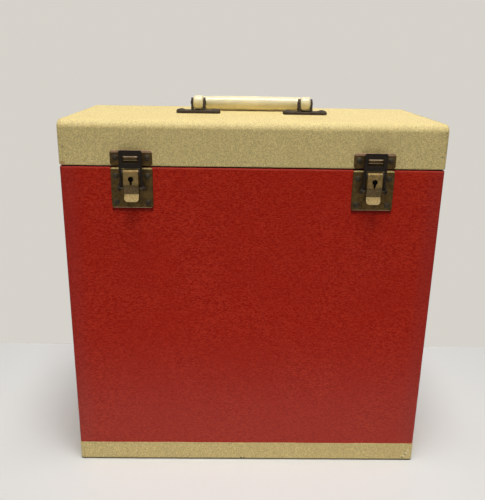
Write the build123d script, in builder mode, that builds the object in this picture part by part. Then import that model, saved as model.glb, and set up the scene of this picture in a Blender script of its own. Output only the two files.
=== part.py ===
from build123d import *

import os
from math import asin, atan2, cos, hypot, sin

# A carrying case for twelve-inch records: a cloth-covered wooden box with a hinged lid, two draw
# latches with key locks on the front, a folding carrying handle on the lid and two butt hinges on
# the back. Millimetres. The origin is the centre of the underside, +Z is up and -Y is the front.

# ---- case -------------------------------------------------------------------------------------
case_width = 350.0
case_depth = 170.0
case_height = 352.0
lid_height = 40.0
seam_gap = 1.0          # between the lid's rim and the body's rim
board = 6.0             # wooden walls and floor of the body
lid_top_board = 5.5
cloth = 0.8             # covering cloth, glued on
lining = 0.4            # paper inside the lid
liner = 2.5             # boards inside the body, whose tops stand up as the lid's locating lip
lip_height = 8.0        # how far the liners stand above the seam
lip_clearance = 1.0     # between the lip and the lid's lining
lip_chamfer = 1.0
corner_radius = 2.5     # upright edges and the lid's ends
lid_edge_radius = 10.0  # the lid's long front and back edges
band_height = 20.6      # cloth band round the foot of the case
band_turn_in = 18.0     # how far the band is turned in under the base
band_join = 0.4         # gap between the turned-in band and the base sheet
base_edge_radius = 2.0

# ---- rivets -----------------------------------------------------------------------------------
rivet_radius = 1.5
rivet_clearance = 0.03
rivet_head_radius = 2.9
rivet_head_height = 1.2

# ---- draw latches -----------------------------------------------------------------------------
latch_inset = 65.0      # from a latch's middle to the end of the case
latch_width = 38.0
latch_corner = 2.4
latch_edge_fillet = 0.5
latch_rivet_pitch = 28.5
running = 0.05          # radial play of a pin in the piece that turns on it
side_play = 0.3         # play beside a moving piece

base_plate_sheet = 1.0
base_plate_top = 0.8    # below the seam
base_plate_length = 37.3
base_rivet_inset = 7.7  # rows of rivets from the plate's top edge
base_rivet_rows = 24.5  # between the two rows

catch_plate_sheet = 1.2
catch_plate_rise = 1.5  # above the seam
catch_plate_length = 13.2
hook_width = 13.0
hook_sheet = 1.0
hook_root = 3.6         # height of the hook's root above the seam
hook_reach = 4.1        # how far its tip stands out of the case
hook_rise = 5.9         # from root to tip
hook_clearance = 0.3    # between the hook's tip and the link, which rests in front of it

lever_width = 13.5
lever_sheet = 1.0
lever_roll = 3.0        # outer radius of the roll round the lever's pin
lever_flat = 10.5       # length of the flat that carries the keyhole
lever_waist_in = 2.6    # how far the face slopes in below the flat
lever_waist_drop = 9.3
lever_tab_out = 4.0     # how far the finger tab flares out
lever_tab_drop = 7.0
lever_tab_corner = 3.0
lever_wall_bottom = 18.2
lever_wall_chamfer = 1.0
lever_pivot_out = 4.2
lever_pivot_drop = 5.0  # below the seam
lever_pin_radius = 1.2
pivot_ear_sheet = 1.0   # the base plate's ears, which stand beside the lever
pivot_ear_radius = 2.6

link_pivot_in = 0.3     # link pin, measured from the lever's pin
link_pivot_drop = 14.5
link_pin_radius = 1.0
link_sheet = 1.2
link_leg = 2.1
link_window_side = 3.4  # width of the frame beside its window
link_bar = 5.2          # the bar that goes behind the hook
link_window = 6.5
link_crossbar = 4.5
link_length = 34.9      # from the pin to the link's top edge
link_corner = 2.0
link_inner_corner = 0.8
link_ear_radius = 2.6
link_flare = 1.2        # how far the legs spread beside the ears
link_flare_length = 5.0
link_head_radius = 1.9
link_head_height = 1.1
link_head_taper = 20.0  # degrees
link_foot = 1.0         # how far the legs' flat foot stands above the pin's top

lock_drop = 5.5         # keyhole, measured from the lever's pin
keyhole_radius = 2.5
keyhole_slot = 2.2
keyhole_length = 5.6
lock_plate_sheet = 0.8
lock_plate_lift = 0.8   # above the base plate
lock_plate_reach = 2.5  # above and below the key post
key_post_radius = 0.9
lock_cam_sheet = 1.2
lock_cam_radius = 2.2
lock_nose_length = 4.8
lock_nose_width = 2.2
keeper_sheet = 1.0
keeper_width = 3.2      # its height up the plate
keeper_overlap = 2.0    # how much of the cam's nose it holds back
keeper_clearance = 0.4
keeper_lip = 5.0        # width of the keeper's hooked end

# ---- carrying handle --------------------------------------------------------------------------
handle_spacing = 108.0
handle_plate_length = 44.5
handle_plate_width = 15.0
handle_plate_sheet = 3.0
handle_plate_corner = 5.0
handle_boss_radius = 5.0
handle_boss_height = 0.5
handle_boss_taper = 20.0 # degrees
handle_rivet_pitch = 34.0
handle_rivet_radius = 2.0
handle_rivet_head = 3.6
handle_rivet_height = 1.0
washer_radius = 6.0
washer_sheet = 1.0
ear_sheet = 1.8
ear_gap = 10.6
ear_radius = 4.9
ear_foot = 13.0
handle_pivot_height = 10.3
handle_pin_radius = 2.0
handle_pin_head = 3.0
handle_pin_head_height = 0.8
handle_pin_taper = 25.0 # degrees
grip_eye_radius = 7.1
grip_eye_width = 10.0
grip_arm_height = 12.0
grip_reach = 32.0       # from the pins to the grip's axis
grip_radius = 7.5
grip_end_radius = 6.8
grip_end_overhang = 0.2 # how far the barrel's round ends stand out past the arms
grip_rest = 0.3         # between the folded grip and the lid

# ---- hinges -----------------------------------------------------------------------------------
hinge_inset = 70.0      # from a hinge's middle to the end of the case
hinge_width = 50.0
hinge_leaf = 24.0       # from the pin to a leaf's outer edge
hinge_sheet = 1.2
hinge_corner = 3.0
hinge_barrel_radius = 2.6
hinge_barrel_lift = 0.3 # between the barrel and the cloth
hinge_pin_radius = 1.4
hinge_knuckles = 5
hinge_knuckle_gap = 0.3
hinge_rivet_pitch = 18.0
hinge_rivet_drop = 14.5

# ---- heights and depths that follow from these ------------------------------------------------
lid_bottom = case_height - lid_height
body_top = lid_bottom - seam_gap
board_top = body_top - cloth            # the cloth is turned in over the rims of body and lid
lid_board_bottom = lid_bottom + cloth
seam_height = (lid_bottom + body_top) / 2
core_width = case_width - 2 * cloth
core_depth = case_depth - 2 * cloth
inner_width = core_width - 2 * board
inner_depth = core_depth - 2 * board
floor_top = cloth + board
lid_board = board - lip_clearance - lining
lid_ceiling = case_height - cloth - lid_top_board
liner_height = seam_height + lip_height - floor_top
wall_depth = cloth + board
latch_column = case_width / 2 - latch_inset
latch_columns = (-latch_column, latch_column)
hinge_column = case_width / 2 - hinge_inset
hinge_columns = (-hinge_column, hinge_column)

os.makedirs("parts", exist_ok=True)


def save(piece, label):
    """Name a finished piece and write it."""
    piece.part.label = label
    export_step(piece.part, f"parts/{label}.step")


def front_plane(x=0.0, out=0.0):
    """Parallel to the case's front: x across, y up from the seam, extruding outwards."""
    return Plane(origin=(x, -case_depth / 2 - out, seam_height), x_dir=(1, 0, 0), z_dir=(0, -1, 0))


def back_plane(x=0.0, out=0.0):
    """The same on the case's back."""
    return Plane(origin=(x, case_depth / 2 + out, seam_height), x_dir=(-1, 0, 0), z_dir=(0, 1, 0))


def latch_section(x):
    """Side view of a latch: x outwards from the front cloth, y up from the seam."""
    return Plane(origin=(x, -case_depth / 2, seam_height), x_dir=(0, -1, 0), z_dir=(-1, 0, 0))


def hinge_section(x):
    """Side view of a hinge: x outwards from the back cloth, y up from the seam."""
    return Plane(origin=(x, case_depth / 2, seam_height), x_dir=(0, 1, 0), z_dir=(1, 0, 0))


def rivets(plane, points, grip, head_radius, head_height, radius):
    """Domed rivets standing on a plane, their shanks reaching grip deep behind it."""
    dome_radius = (head_radius**2 + head_height**2) / (2 * head_height)
    half_angle = asin(head_radius / dome_radius) / 2
    dome_middle = (
        dome_radius * sin(half_angle), head_height - dome_radius + dome_radius * cos(half_angle)
    )
    with BuildPart() as rivet:
        with BuildSketch(Plane.XZ):
            with BuildLine():
                stem = Polyline((0, -grip), (radius, -grip), (radius, 0), (head_radius, 0))
                dome = ThreePointArc(stem @ 1, dome_middle, (0, head_height))
                Line(dome @ 1, stem @ 0)
            make_face()
        revolve(axis=Axis.Z)
    with BuildPart() as group:
        with Locations(*(plane * Location((px, py, 0)) for px, py in points)):
            add(rivet.part)
    return group


def drill(plane, points, depth, radius):
    """Round holes through the piece being built, depth deep either side of a plane."""
    with Locations(*(plane * Location((px, py, 0)) for px, py in points)):
        Cylinder(radius + rivet_clearance, 2 * depth, mode=Mode.SUBTRACT)


# ---- where the rivets go ----------------------------------------------------------------------
half_pitch = latch_rivet_pitch / 2
base_rivet_top = -base_plate_top - base_rivet_inset
catch_rivet_level = catch_plate_rise + catch_plate_length / 2
base_rivet_points = [
    (column + dx, base_rivet_top - dz)
    for column in latch_columns
    for dx in (-half_pitch, half_pitch)
    for dz in (0, base_rivet_rows)
]
catch_rivet_points = [
    (column + dx, catch_rivet_level) for column in latch_columns for dx in (-half_pitch, half_pitch)
]
hinge_rivet_points = [
    (column + dx, -hinge_rivet_drop)
    for column in hinge_columns
    for dx in (-hinge_rivet_pitch, 0, hinge_rivet_pitch)
]
hinge_lid_rivet_points = [(px, -py) for px, py in hinge_rivet_points]
handle_columns = (-handle_spacing / 2, handle_spacing / 2)
handle_rivet_points = [
    (column + dx, 0)
    for column in handle_columns for dx in (-handle_rivet_pitch / 2, handle_rivet_pitch / 2)
]
lid_top_plane = Plane.XY.offset(case_height)


# ---- the two wooden cores that the cloth is glued to ------------------------------------------
with BuildPart() as body_core:
    with BuildSketch(Plane.XY.offset(cloth)):
        RectangleRounded(core_width, core_depth, corner_radius - cloth)
    extrude(amount=board_top - cloth)
    fillet(body_core.faces().sort_by(Axis.Z)[0].edges(), base_edge_radius - cloth)


def lid_block(width, depth, bottom, top, edge_radius, end_radius):
    """A lid-shaped block: rounded long edges, and ends with a smaller round."""
    with BuildPart() as block:
        with BuildSketch(Plane.YZ.offset(-width / 2)) as profile:
            with Locations((0, (bottom + top) / 2)):
                Rectangle(depth, top - bottom)
            fillet(profile.vertices().group_by(Axis.Y)[-1], edge_radius)
        extrude(amount=width)
        ends = block.faces().filter_by(Axis.X)
        rims = [edge for end in ends for edge in end.edges().sort_by(Axis.Z)[1:]]
        fillet(rims, end_radius)
    return block


lid_core = lid_block(
    core_width, core_depth, lid_board_bottom, case_height - cloth,
    lid_edge_radius - cloth, corner_radius - cloth,
)


def wall(core, size, place, points=(), plane=None):
    """A board cut to a wooden core's outline, drilled for rivets."""
    with BuildPart() as panel:
        with Locations(place):
            Box(*size, align=(Align.CENTER, Align.CENTER, Align.MIN))
        add(core.part, mode=Mode.INTERSECT)
        if points:
            drill(plane, points, wall_depth, rivet_radius)
    return panel


# ---- body boards ------------------------------------------------------------------------------
body_height = board_top - cloth
wall_offset = (core_depth - board) / 2
end_offset = (core_width - board) / 2

front_board = wall(
    body_core, (core_width, board, body_height), (0, -wall_offset, cloth), base_rivet_points, front_plane()
)
save(front_board, "body_front_board")

back_board = wall(
    body_core, (core_width, board, body_height), (0, wall_offset, cloth), hinge_rivet_points, back_plane()
)
save(back_board, "body_back_board")

for side, sign in (("left", -1), ("right", 1)):
    end_board = wall(body_core, (board, inner_depth, body_height), (sign * end_offset, 0, cloth))
    save(end_board, f"body_{side}_board")

floor_board = wall(body_core, (inner_width, inner_depth, board), (0, 0, cloth))
save(floor_board, "body_floor_board")

# ---- liners: boards inside the walls, their chamfered tops locate the lid ----------------------
liner_offset = (inner_depth - liner) / 2
end_liner_offset = (inner_width - liner) / 2


def liner_board(length, place, direction, outward):
    """One liner, standing on the floor board, its top outer edge chamfered to lead the lid on."""
    size = (length, liner) if direction == Axis.X else (liner, length)
    across = Axis.Y if direction == Axis.X else Axis.X
    with BuildPart() as panel:
        with Locations(place):
            Box(*size, liner_height, align=(Align.CENTER, Align.CENTER, Align.MIN))
        top = panel.faces().sort_by(Axis.Z)[-1]
        edges = top.edges().filter_by(direction).sort_by(across)
        chamfer(edges[-1] if outward > 0 else edges[0], lip_chamfer)
    return panel


for side, sign in (("front", -1), ("back", 1)):
    board_inside = liner_board(inner_width, (0, sign * liner_offset, floor_top), Axis.X, sign)
    save(board_inside, f"body_{side}_liner")
for side, sign in (("left", -1), ("right", 1)):
    length = inner_depth - 2 * liner
    board_inside = liner_board(length, (sign * end_liner_offset, 0, floor_top), Axis.Y, sign)
    save(board_inside, f"body_{side}_liner")

# ---- cloth on the body ------------------------------------------------------------------------
with BuildPart() as body_cloth:
    with BuildSketch(Plane.XY.offset(band_height)):
        RectangleRounded(case_width, case_depth, corner_radius)
        RectangleRounded(core_width, core_depth, corner_radius - cloth, mode=Mode.SUBTRACT)
    extrude(amount=body_top - band_height)
    with BuildSketch(Plane.XY.offset(board_top)):
        RectangleRounded(core_width, core_depth, corner_radius - cloth)
        Rectangle(inner_width, inner_depth, mode=Mode.SUBTRACT)
    extrude(amount=cloth)
    drill(front_plane(), base_rivet_points, wall_depth, rivet_radius)
    drill(back_plane(), hinge_rivet_points, wall_depth, rivet_radius)
save(body_cloth, "body_cloth")

base_opening_width = case_width - 2 * band_turn_in
base_opening_depth = case_depth - 2 * band_turn_in
with BuildPart() as base_band:
    with BuildSketch():
        RectangleRounded(case_width, case_depth, corner_radius)
    extrude(amount=band_height)
    fillet(base_band.faces().sort_by(Axis.Z)[0].edges(), base_edge_radius)
    add(body_core.part, mode=Mode.SUBTRACT)
    with BuildSketch():
        Rectangle(base_opening_width, base_opening_depth)
    extrude(amount=cloth, mode=Mode.SUBTRACT)
save(base_band, "base_band")

with BuildPart() as base_sheet:
    with BuildSketch():
        Rectangle(base_opening_width - 2 * band_join, base_opening_depth - 2 * band_join)
    extrude(amount=cloth)
save(base_sheet, "base_sheet")

# ---- lid boards -------------------------------------------------------------------------------
lid_wall_height = lid_ceiling - lid_board_bottom
lid_wall_offset = (core_depth - lid_board) / 2
lid_end_offset = (core_width - lid_board) / 2
lid_inner_width = core_width - 2 * lid_board
lid_inner_depth = core_depth - 2 * lid_board

with BuildPart() as lid_top_panel:
    with Locations((0, 0, lid_ceiling)):
        Box(core_width, core_depth, lid_top_board, align=(Align.CENTER, Align.CENTER, Align.MIN))
    add(lid_core.part, mode=Mode.INTERSECT)
    drill(lid_top_plane, handle_rivet_points, wall_depth, handle_rivet_radius)
save(lid_top_panel, "lid_top_board")

lid_front = wall(
    lid_core, (core_width, lid_board, lid_wall_height), (0, -lid_wall_offset, lid_board_bottom),
    catch_rivet_points, front_plane(),
)
save(lid_front, "lid_front_board")

lid_back = wall(
    lid_core, (core_width, lid_board, lid_wall_height), (0, lid_wall_offset, lid_board_bottom),
    hinge_lid_rivet_points, back_plane(),
)
save(lid_back, "lid_back_board")

for side, sign in (("left", -1), ("right", 1)):
    lid_end = wall(
        lid_core, (lid_board, lid_inner_depth, lid_wall_height),
        (sign * lid_end_offset, 0, lid_board_bottom),
    )
    save(lid_end, f"lid_{side}_board")

# ---- cloth and paper on the lid ---------------------------------------------------------------
lid_cloth = lid_block(case_width, case_depth, lid_bottom, case_height, lid_edge_radius, corner_radius)
with lid_cloth:
    add(lid_core.part, mode=Mode.SUBTRACT)
    with Locations((0, 0, lid_bottom)):
        Box(lid_inner_width, lid_inner_depth, cloth, align=(Align.CENTER, Align.CENTER, Align.MIN),
            mode=Mode.SUBTRACT)
    drill(front_plane(), catch_rivet_points, wall_depth, rivet_radius)
    drill(back_plane(), hinge_lid_rivet_points, wall_depth, rivet_radius)
    drill(lid_top_plane, handle_rivet_points, wall_depth, handle_rivet_radius)
save(lid_cloth, "lid_cloth")

paper_height = lid_ceiling - lid_bottom
with BuildPart() as lid_paper:
    with Locations((0, 0, lid_bottom)):
        Box(lid_inner_width, lid_inner_depth, paper_height, align=(Align.CENTER, Align.CENTER, Align.MIN))
        Box(lid_inner_width - 2 * lining, lid_inner_depth - 2 * lining, paper_height - lining,
            align=(Align.CENTER, Align.CENTER, Align.MIN), mode=Mode.SUBTRACT)
    drill(lid_top_plane, handle_rivet_points, case_height - lid_ceiling + lining, handle_rivet_radius)
save(lid_paper, "lid_paper")

# ---- carrying handle: two riveted plates with ears, and a moulded grip that folds flat ----------
handle_pivot_z = case_height + handle_pivot_height
half_ear_gap = ear_gap / 2
for side, column in zip(("left", "right"), handle_columns):
    boss_points = [(column - handle_rivet_pitch / 2, 0), (column + handle_rivet_pitch / 2, 0)]
    plate_top = case_height + handle_plate_sheet
    with BuildPart() as handle_plate:
        with BuildSketch(lid_top_plane):
            with Locations((column, 0)):
                RectangleRounded(handle_plate_length, handle_plate_width, handle_plate_corner)
        extrude(amount=handle_plate_sheet)
        with BuildSketch(lid_top_plane.offset(handle_plate_sheet)):
            with Locations(*boss_points):
                Circle(handle_boss_radius)
        extrude(amount=handle_boss_height, taper=handle_boss_taper)
        ear_planes = [
            Plane(origin=(column + dx, 0, plate_top), x_dir=(0, 1, 0), z_dir=(1, 0, 0))
            for dx in (-(half_ear_gap + ear_sheet / 2), half_ear_gap + ear_sheet / 2)
        ]
        pin_height = handle_pivot_height - handle_plate_sheet
        with BuildSketch(*ear_planes):
            with BuildLine():
                lean = asin((ear_foot / 2 - ear_radius) / pin_height)
                shoulder = (ear_radius * cos(lean), pin_height + ear_radius * sin(lean))
                foot = Line((-ear_foot / 2, 0), (ear_foot / 2, 0))
                Line(foot @ 1, shoulder)
                crown = ThreePointArc(
                    shoulder, (0, pin_height + ear_radius), (-shoulder[0], shoulder[1])
                )
                Line(crown @ 1, foot @ 0)
            make_face()
            with Locations((0, pin_height)):
                Circle(handle_pin_radius + rivet_clearance, mode=Mode.SUBTRACT)
        extrude(amount=ear_sheet / 2, both=True)
        drill(lid_top_plane, boss_points, wall_depth, handle_rivet_radius)
    save(handle_plate, f"handle_{side}_plate")

with BuildPart() as handle_pins:
    for column in handle_columns:
        head_offset = half_ear_gap + ear_sheet
        pin_plane = Plane(origin=(column, 0, handle_pivot_z), x_dir=(0, 1, 0), z_dir=(1, 0, 0))
        with BuildSketch(pin_plane):
            Circle(handle_pin_radius)
        extrude(amount=head_offset + handle_pin_head_height, both=True)
        for sign in (-1, 1):
            with BuildSketch(pin_plane.offset(sign * head_offset)):
                Circle(handle_pin_head)
            extrude(amount=sign * handle_pin_head_height, taper=handle_pin_taper)
save(handle_pins, "handle_pins")

boss_top = handle_plate_sheet + handle_boss_height
handle_rivet_grip = boss_top + case_height - lid_ceiling + lining + washer_sheet
handle_rivets = rivets(
    lid_top_plane.offset(boss_top), handle_rivet_points, handle_rivet_grip,
    handle_rivet_head, handle_rivet_height, handle_rivet_radius,
)
save(handle_rivets, "handle_rivets")

with BuildPart() as handle_washers:
    with BuildSketch(Plane.XY.offset(lid_ceiling - lining - washer_sheet)):
        with Locations(*handle_rivet_points):
            Circle(washer_radius)
            Circle(handle_rivet_radius + rivet_clearance, mode=Mode.SUBTRACT)
    extrude(amount=washer_sheet)
save(handle_washers, "handle_backing_washers")

# The grip's plane runs from the pins to the grip's axis, which lies low when the handle is folded.
grip_drop = handle_pivot_height - grip_rest - grip_radius
grip_tilt = asin(grip_drop / grip_reach)
grip_plane = Plane(
    origin=(0, 0, handle_pivot_z), x_dir=(1, 0, 0), z_dir=(0, sin(grip_tilt), cos(grip_tilt))
)
half_spacing = handle_spacing / 2
barrel_half = half_spacing + grip_eye_width / 2 + grip_end_overhang - grip_end_radius
arm_plane = Plane(
    origin=(0, 0, handle_pivot_z), x_dir=grip_plane.x_dir, z_dir=grip_plane.y_dir
)
with BuildPart() as handle_grip:
    with BuildSketch(arm_plane):
        with Locations((-half_spacing, 0), (half_spacing, 0)):
            Ellipse(grip_eye_width / 2, grip_arm_height / 2)
    extrude(amount=grip_reach)
    with BuildSketch(grip_plane):
        with BuildLine():
            tip = barrel_half + grip_end_radius
            shoulder = (barrel_half, grip_reach + grip_end_radius)
            axis_line = Line((-tip, grip_reach), (tip, grip_reach))
            right_end = RadiusArc(axis_line @ 1, shoulder, grip_end_radius)
            swell = ThreePointArc(
                right_end @ 1, (0, grip_reach + grip_radius), (-shoulder[0], shoulder[1])
            )
            RadiusArc(swell @ 1, axis_line @ 0, grip_end_radius)
        make_face()
    revolve(axis=Axis(grip_plane.from_local_coords((0, grip_reach, 0)), (1, 0, 0)))
    for column in handle_columns:
        eye_plane = Plane(origin=(column, 0, handle_pivot_z), x_dir=(0, 1, 0), z_dir=(1, 0, 0))
        with BuildSketch(eye_plane):
            Circle(grip_eye_radius)
        extrude(amount=grip_eye_width / 2, both=True)
        with BuildSketch(eye_plane):
            Circle(handle_pin_radius + running)
        extrude(amount=grip_eye_width, both=True, mode=Mode.SUBTRACT)
save(handle_grip, "handle_grip")

# ---- butt hinges ------------------------------------------------------------------------------
hinge_pin_out = hinge_barrel_lift + hinge_barrel_radius
knuckle_pitch = hinge_width / hinge_knuckles


def hinge_leaf_piece(x, side, knuckles):
    """One leaf: a plate on the cloth and the knuckles that it is rolled into round the pin."""
    with BuildPart() as leaf:
        with BuildSketch(back_plane(x)) as plate:
            with Locations((0, side * hinge_leaf / 2)):
                Rectangle(hinge_width, hinge_leaf)
            fillet(plate.vertices().group_by(Axis.Y)[0 if side < 0 else -1], hinge_corner)
        extrude(amount=hinge_sheet)
        clear = hinge_barrel_radius + side_play
        for index in range(hinge_knuckles):
            centre = x - hinge_width / 2 + (index + 0.5) * knuckle_pitch
            section = hinge_section(centre)
            if index in knuckles:
                with BuildSketch(section):
                    with Locations((hinge_pin_out, 0)):
                        Circle(hinge_barrel_radius)
                extrude(amount=(knuckle_pitch - hinge_knuckle_gap) / 2, both=True)
            else:
                with BuildSketch(section):
                    with Locations((hinge_pin_out, 0)):
                        Circle(clear)
                extrude(amount=(knuckle_pitch + hinge_knuckle_gap) / 2, both=True, mode=Mode.SUBTRACT)
        with BuildSketch(hinge_section(x)):
            with Locations((hinge_pin_out, 0)):
                Circle(hinge_pin_radius + running)
        extrude(amount=hinge_width, both=True, mode=Mode.SUBTRACT)
        points = [(dx, side * hinge_rivet_drop) for dx in (-hinge_rivet_pitch, 0, hinge_rivet_pitch)]
        drill(back_plane(x), points, wall_depth, rivet_radius)
    return leaf


for side, column in zip(("left", "right"), hinge_columns):
    body_leaf = hinge_leaf_piece(column, -1, range(0, hinge_knuckles, 2))
    save(body_leaf, f"hinge_{side}_body_leaf")
    lid_leaf = hinge_leaf_piece(column, 1, range(1, hinge_knuckles, 2))
    save(lid_leaf, f"hinge_{side}_lid_leaf")

with BuildPart() as hinge_pins:
    for column in hinge_columns:
        with BuildSketch(hinge_section(column)):
            with Locations((hinge_pin_out, 0)):
                Circle(hinge_pin_radius)
        extrude(amount=hinge_width / 2, both=True)
save(hinge_pins, "hinge_pins")

hinge_head_height = rivet_head_height / 2
hinge_body_rivets = rivets(
    back_plane(0, hinge_sheet), hinge_rivet_points, hinge_sheet + wall_depth,
    rivet_head_radius, hinge_head_height, rivet_radius,
)
save(hinge_body_rivets, "hinge_body_rivets")
hinge_lid_rivets = rivets(
    back_plane(0, hinge_sheet), hinge_lid_rivet_points, hinge_sheet + cloth + lid_board,
    rivet_head_radius, hinge_head_height, rivet_radius,
)
save(hinge_lid_rivets, "hinge_lid_rivets")

# ---- draw latches -----------------------------------------------------------------------------
lever_pivot = (lever_pivot_out, -lever_pivot_drop)
link_pivot = (lever_pivot_out - link_pivot_in, -lever_pivot_drop - link_pivot_drop)
lever_face = lever_pivot_out + lever_roll
lever_inside = lever_width / 2 - lever_sheet

link_leg_inner = lever_width / 2 + 2 * side_play + pivot_ear_sheet
link_leg_outer = link_leg_inner + link_leg

# The hook is a strip bent out of the catch plate; its outer top corner is what the link must clear.
hook_slope = atan2(hook_rise, hook_reach - catch_plate_sheet / 2)
hook_tip = (
    hook_reach + hook_sheet / 2 * sin(hook_slope),
    hook_root + hook_rise - hook_sheet / 2 * cos(hook_slope),
)
tip_out = hook_tip[0] - link_pivot[0]
tip_up = hook_tip[1] - link_pivot[1]
link_lean = atan2(tip_out, tip_up) + asin((link_sheet / 2 + hook_clearance) / hypot(tip_out, tip_up))


def link_plane(x):
    """The link's own plane: origin at its pin, y up along the link, extruding outwards."""
    return Plane(
        origin=(x, -case_depth / 2 - link_pivot[0], seam_height + link_pivot[1]),
        x_dir=(1, 0, 0), z_dir=(0, -cos(link_lean), -sin(link_lean)),
    )


def plate_blank(x, top, length, sheet):
    """A latch plate lying on the case, its outer rim rounded over."""
    with BuildPart() as plate:
        with BuildSketch(front_plane(x)):
            with Locations((0, top - length / 2)):
                RectangleRounded(latch_width, length, latch_corner)
        extrude(amount=sheet)
        fillet(plate.faces().sort_by(Axis.Y)[0].edges(), latch_edge_fillet)
    return plate


def catch_plate_piece(x):
    """The plate on the lid, with a hook bent out of the window behind it."""
    blank = plate_blank(x, catch_plate_rise + catch_plate_length, catch_plate_length, catch_plate_sheet)
    with BuildPart() as plate:
        add(blank.part)
        with BuildSketch(front_plane(x)):
            with Locations((0, hook_root + hook_sheet)):
                Rectangle(hook_width, hook_rise, align=(Align.CENTER, Align.MIN))
        extrude(amount=catch_plate_sheet, mode=Mode.SUBTRACT)
        half = hook_sheet / 2
        side_out, side_up = half * sin(hook_slope), half * cos(hook_slope)
        root = (catch_plate_sheet / 2, hook_root)
        tip = (hook_reach, hook_root + hook_rise)
        with BuildSketch(latch_section(x)):
            Polygon(
                (root[0] + side_out, root[1] - side_up), (tip[0] + side_out, tip[1] - side_up),
                (tip[0] - side_out, tip[1] + side_up), (root[0] - side_out, root[1] + side_up),
                (0, root[1] - side_up), align=None,
            )
        extrude(amount=hook_width / 2, both=True)
        drill(front_plane(x), [(-half_pitch, catch_rivet_level), (half_pitch, catch_rivet_level)],
              wall_depth, rivet_radius)
    return plate


def base_plate_piece(x):
    """The plate on the body that carries the lever."""
    blank = plate_blank(x, -base_plate_top, base_plate_length, base_plate_sheet)
    with BuildPart() as plate:
        add(blank.part)
        drill(front_plane(x), [
            (dx, base_rivet_top - dz) for dx in (-half_pitch, half_pitch) for dz in (0, base_rivet_rows)
        ], wall_depth, rivet_radius)
    return plate


pivot_ear_inner = lever_width / 2 + side_play
pivot_ear_outer = pivot_ear_inner + pivot_ear_sheet


def pivot_ears_piece(x):
    """Two ears on the base plate, one on each side of the lever, that hold its pin."""
    with BuildPart() as ears:
        middle = pivot_ear_inner + pivot_ear_sheet / 2
        with BuildSketch(*(latch_section(x).offset(sign * middle) for sign in (-1, 1))):
            with Locations(lever_pivot):
                Circle(pivot_ear_radius)
            with Locations((base_plate_sheet, lever_pivot[1])):
                Rectangle(
                    lever_pivot_out - base_plate_sheet, 2 * pivot_ear_radius,
                    align=(Align.MIN, Align.CENTER),
                )
            with Locations(lever_pivot):
                Circle(lever_pin_radius + rivet_clearance, mode=Mode.SUBTRACT)
        extrude(amount=pivot_ear_sheet / 2, both=True)
    return ears


def lever_pin_piece(x):
    """The pin that the lever turns on, riveted in the ears."""
    with BuildPart() as pin:
        with BuildSketch(latch_section(x)):
            with Locations(lever_pivot):
                Circle(lever_pin_radius)
        extrude(amount=pivot_ear_outer, both=True)
    return pin


def lever_piece(x):
    """The lever: one formed sheet with a roll, a face and a finger tab, between two side walls."""
    section = latch_section(x)
    with BuildPart() as lever:
        with BuildSketch(section):
            with BuildLine():
                roll = ThreePointArc(
                    (lever_pivot[0] - lever_roll, lever_pivot[1]),
                    (lever_pivot[0], lever_pivot[1] + lever_roll),
                    (lever_face, lever_pivot[1]),
                )
                flat_end = (lever_face, lever_pivot[1] - lever_flat)
                waist = (lever_face - lever_waist_in, flat_end[1] - lever_waist_drop)
                tab_end = (waist[0] + lever_tab_out, waist[1] - lever_tab_drop)
                Polyline(roll @ 1, flat_end, waist, tab_end)
                offset(amount=lever_sheet, side=Side.RIGHT, kind=Kind.INTERSECTION)
            make_face()
        extrude(amount=lever_width / 2, both=True)
        tips = lever.edges().filter_by(lambda edge: abs(edge.length - lever_sheet) < 0.01)
        fillet(tips.group_by(Axis.Z)[0], lever_tab_corner)
        wall_middle = lever_inside + lever_sheet / 2
        back_edge = base_plate_sheet + 2 * side_play
        wall_end = lever_pivot[1] - lever_wall_bottom
        slope = lever_waist_in / lever_waist_drop
        face_at_end = lever_face - slope * (flat_end[1] - wall_end)
        with BuildSketch(*(section.offset(sign * wall_middle) for sign in (-1, 1))):
            with Locations(lever_pivot):
                Circle(lever_roll - lever_sheet / 2)
            Polygon(
                (lever_face - lever_sheet / 2, lever_pivot[1]),
                (lever_face - lever_sheet / 2, flat_end[1]),
                (face_at_end - lever_sheet / 2, wall_end), (back_edge + lever_wall_chamfer, wall_end),
                (back_edge, wall_end + lever_wall_chamfer), (back_edge, lever_pivot[1]),
                align=None,
            )
        extrude(amount=lever_sheet / 2, both=True)
        with BuildSketch(section):
            with Locations(lever_pivot):
                Circle(lever_pin_radius + running)
            with Locations(link_pivot):
                Circle(link_pin_radius + rivet_clearance)
        extrude(amount=lever_width, both=True, mode=Mode.SUBTRACT)
        with BuildSketch(front_plane(x, out=lever_face - 2 * lever_sheet)):
            with Locations((0, lever_pivot[1] - lock_drop)):
                Circle(keyhole_radius)
                with Locations((0, -keyhole_length + keyhole_slot / 2)):
                    Circle(keyhole_slot / 2)
                Rectangle(keyhole_slot, keyhole_length - keyhole_slot / 2, align=(Align.CENTER, Align.MAX))
        extrude(amount=3 * lever_sheet, mode=Mode.SUBTRACT)
    return lever


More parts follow.
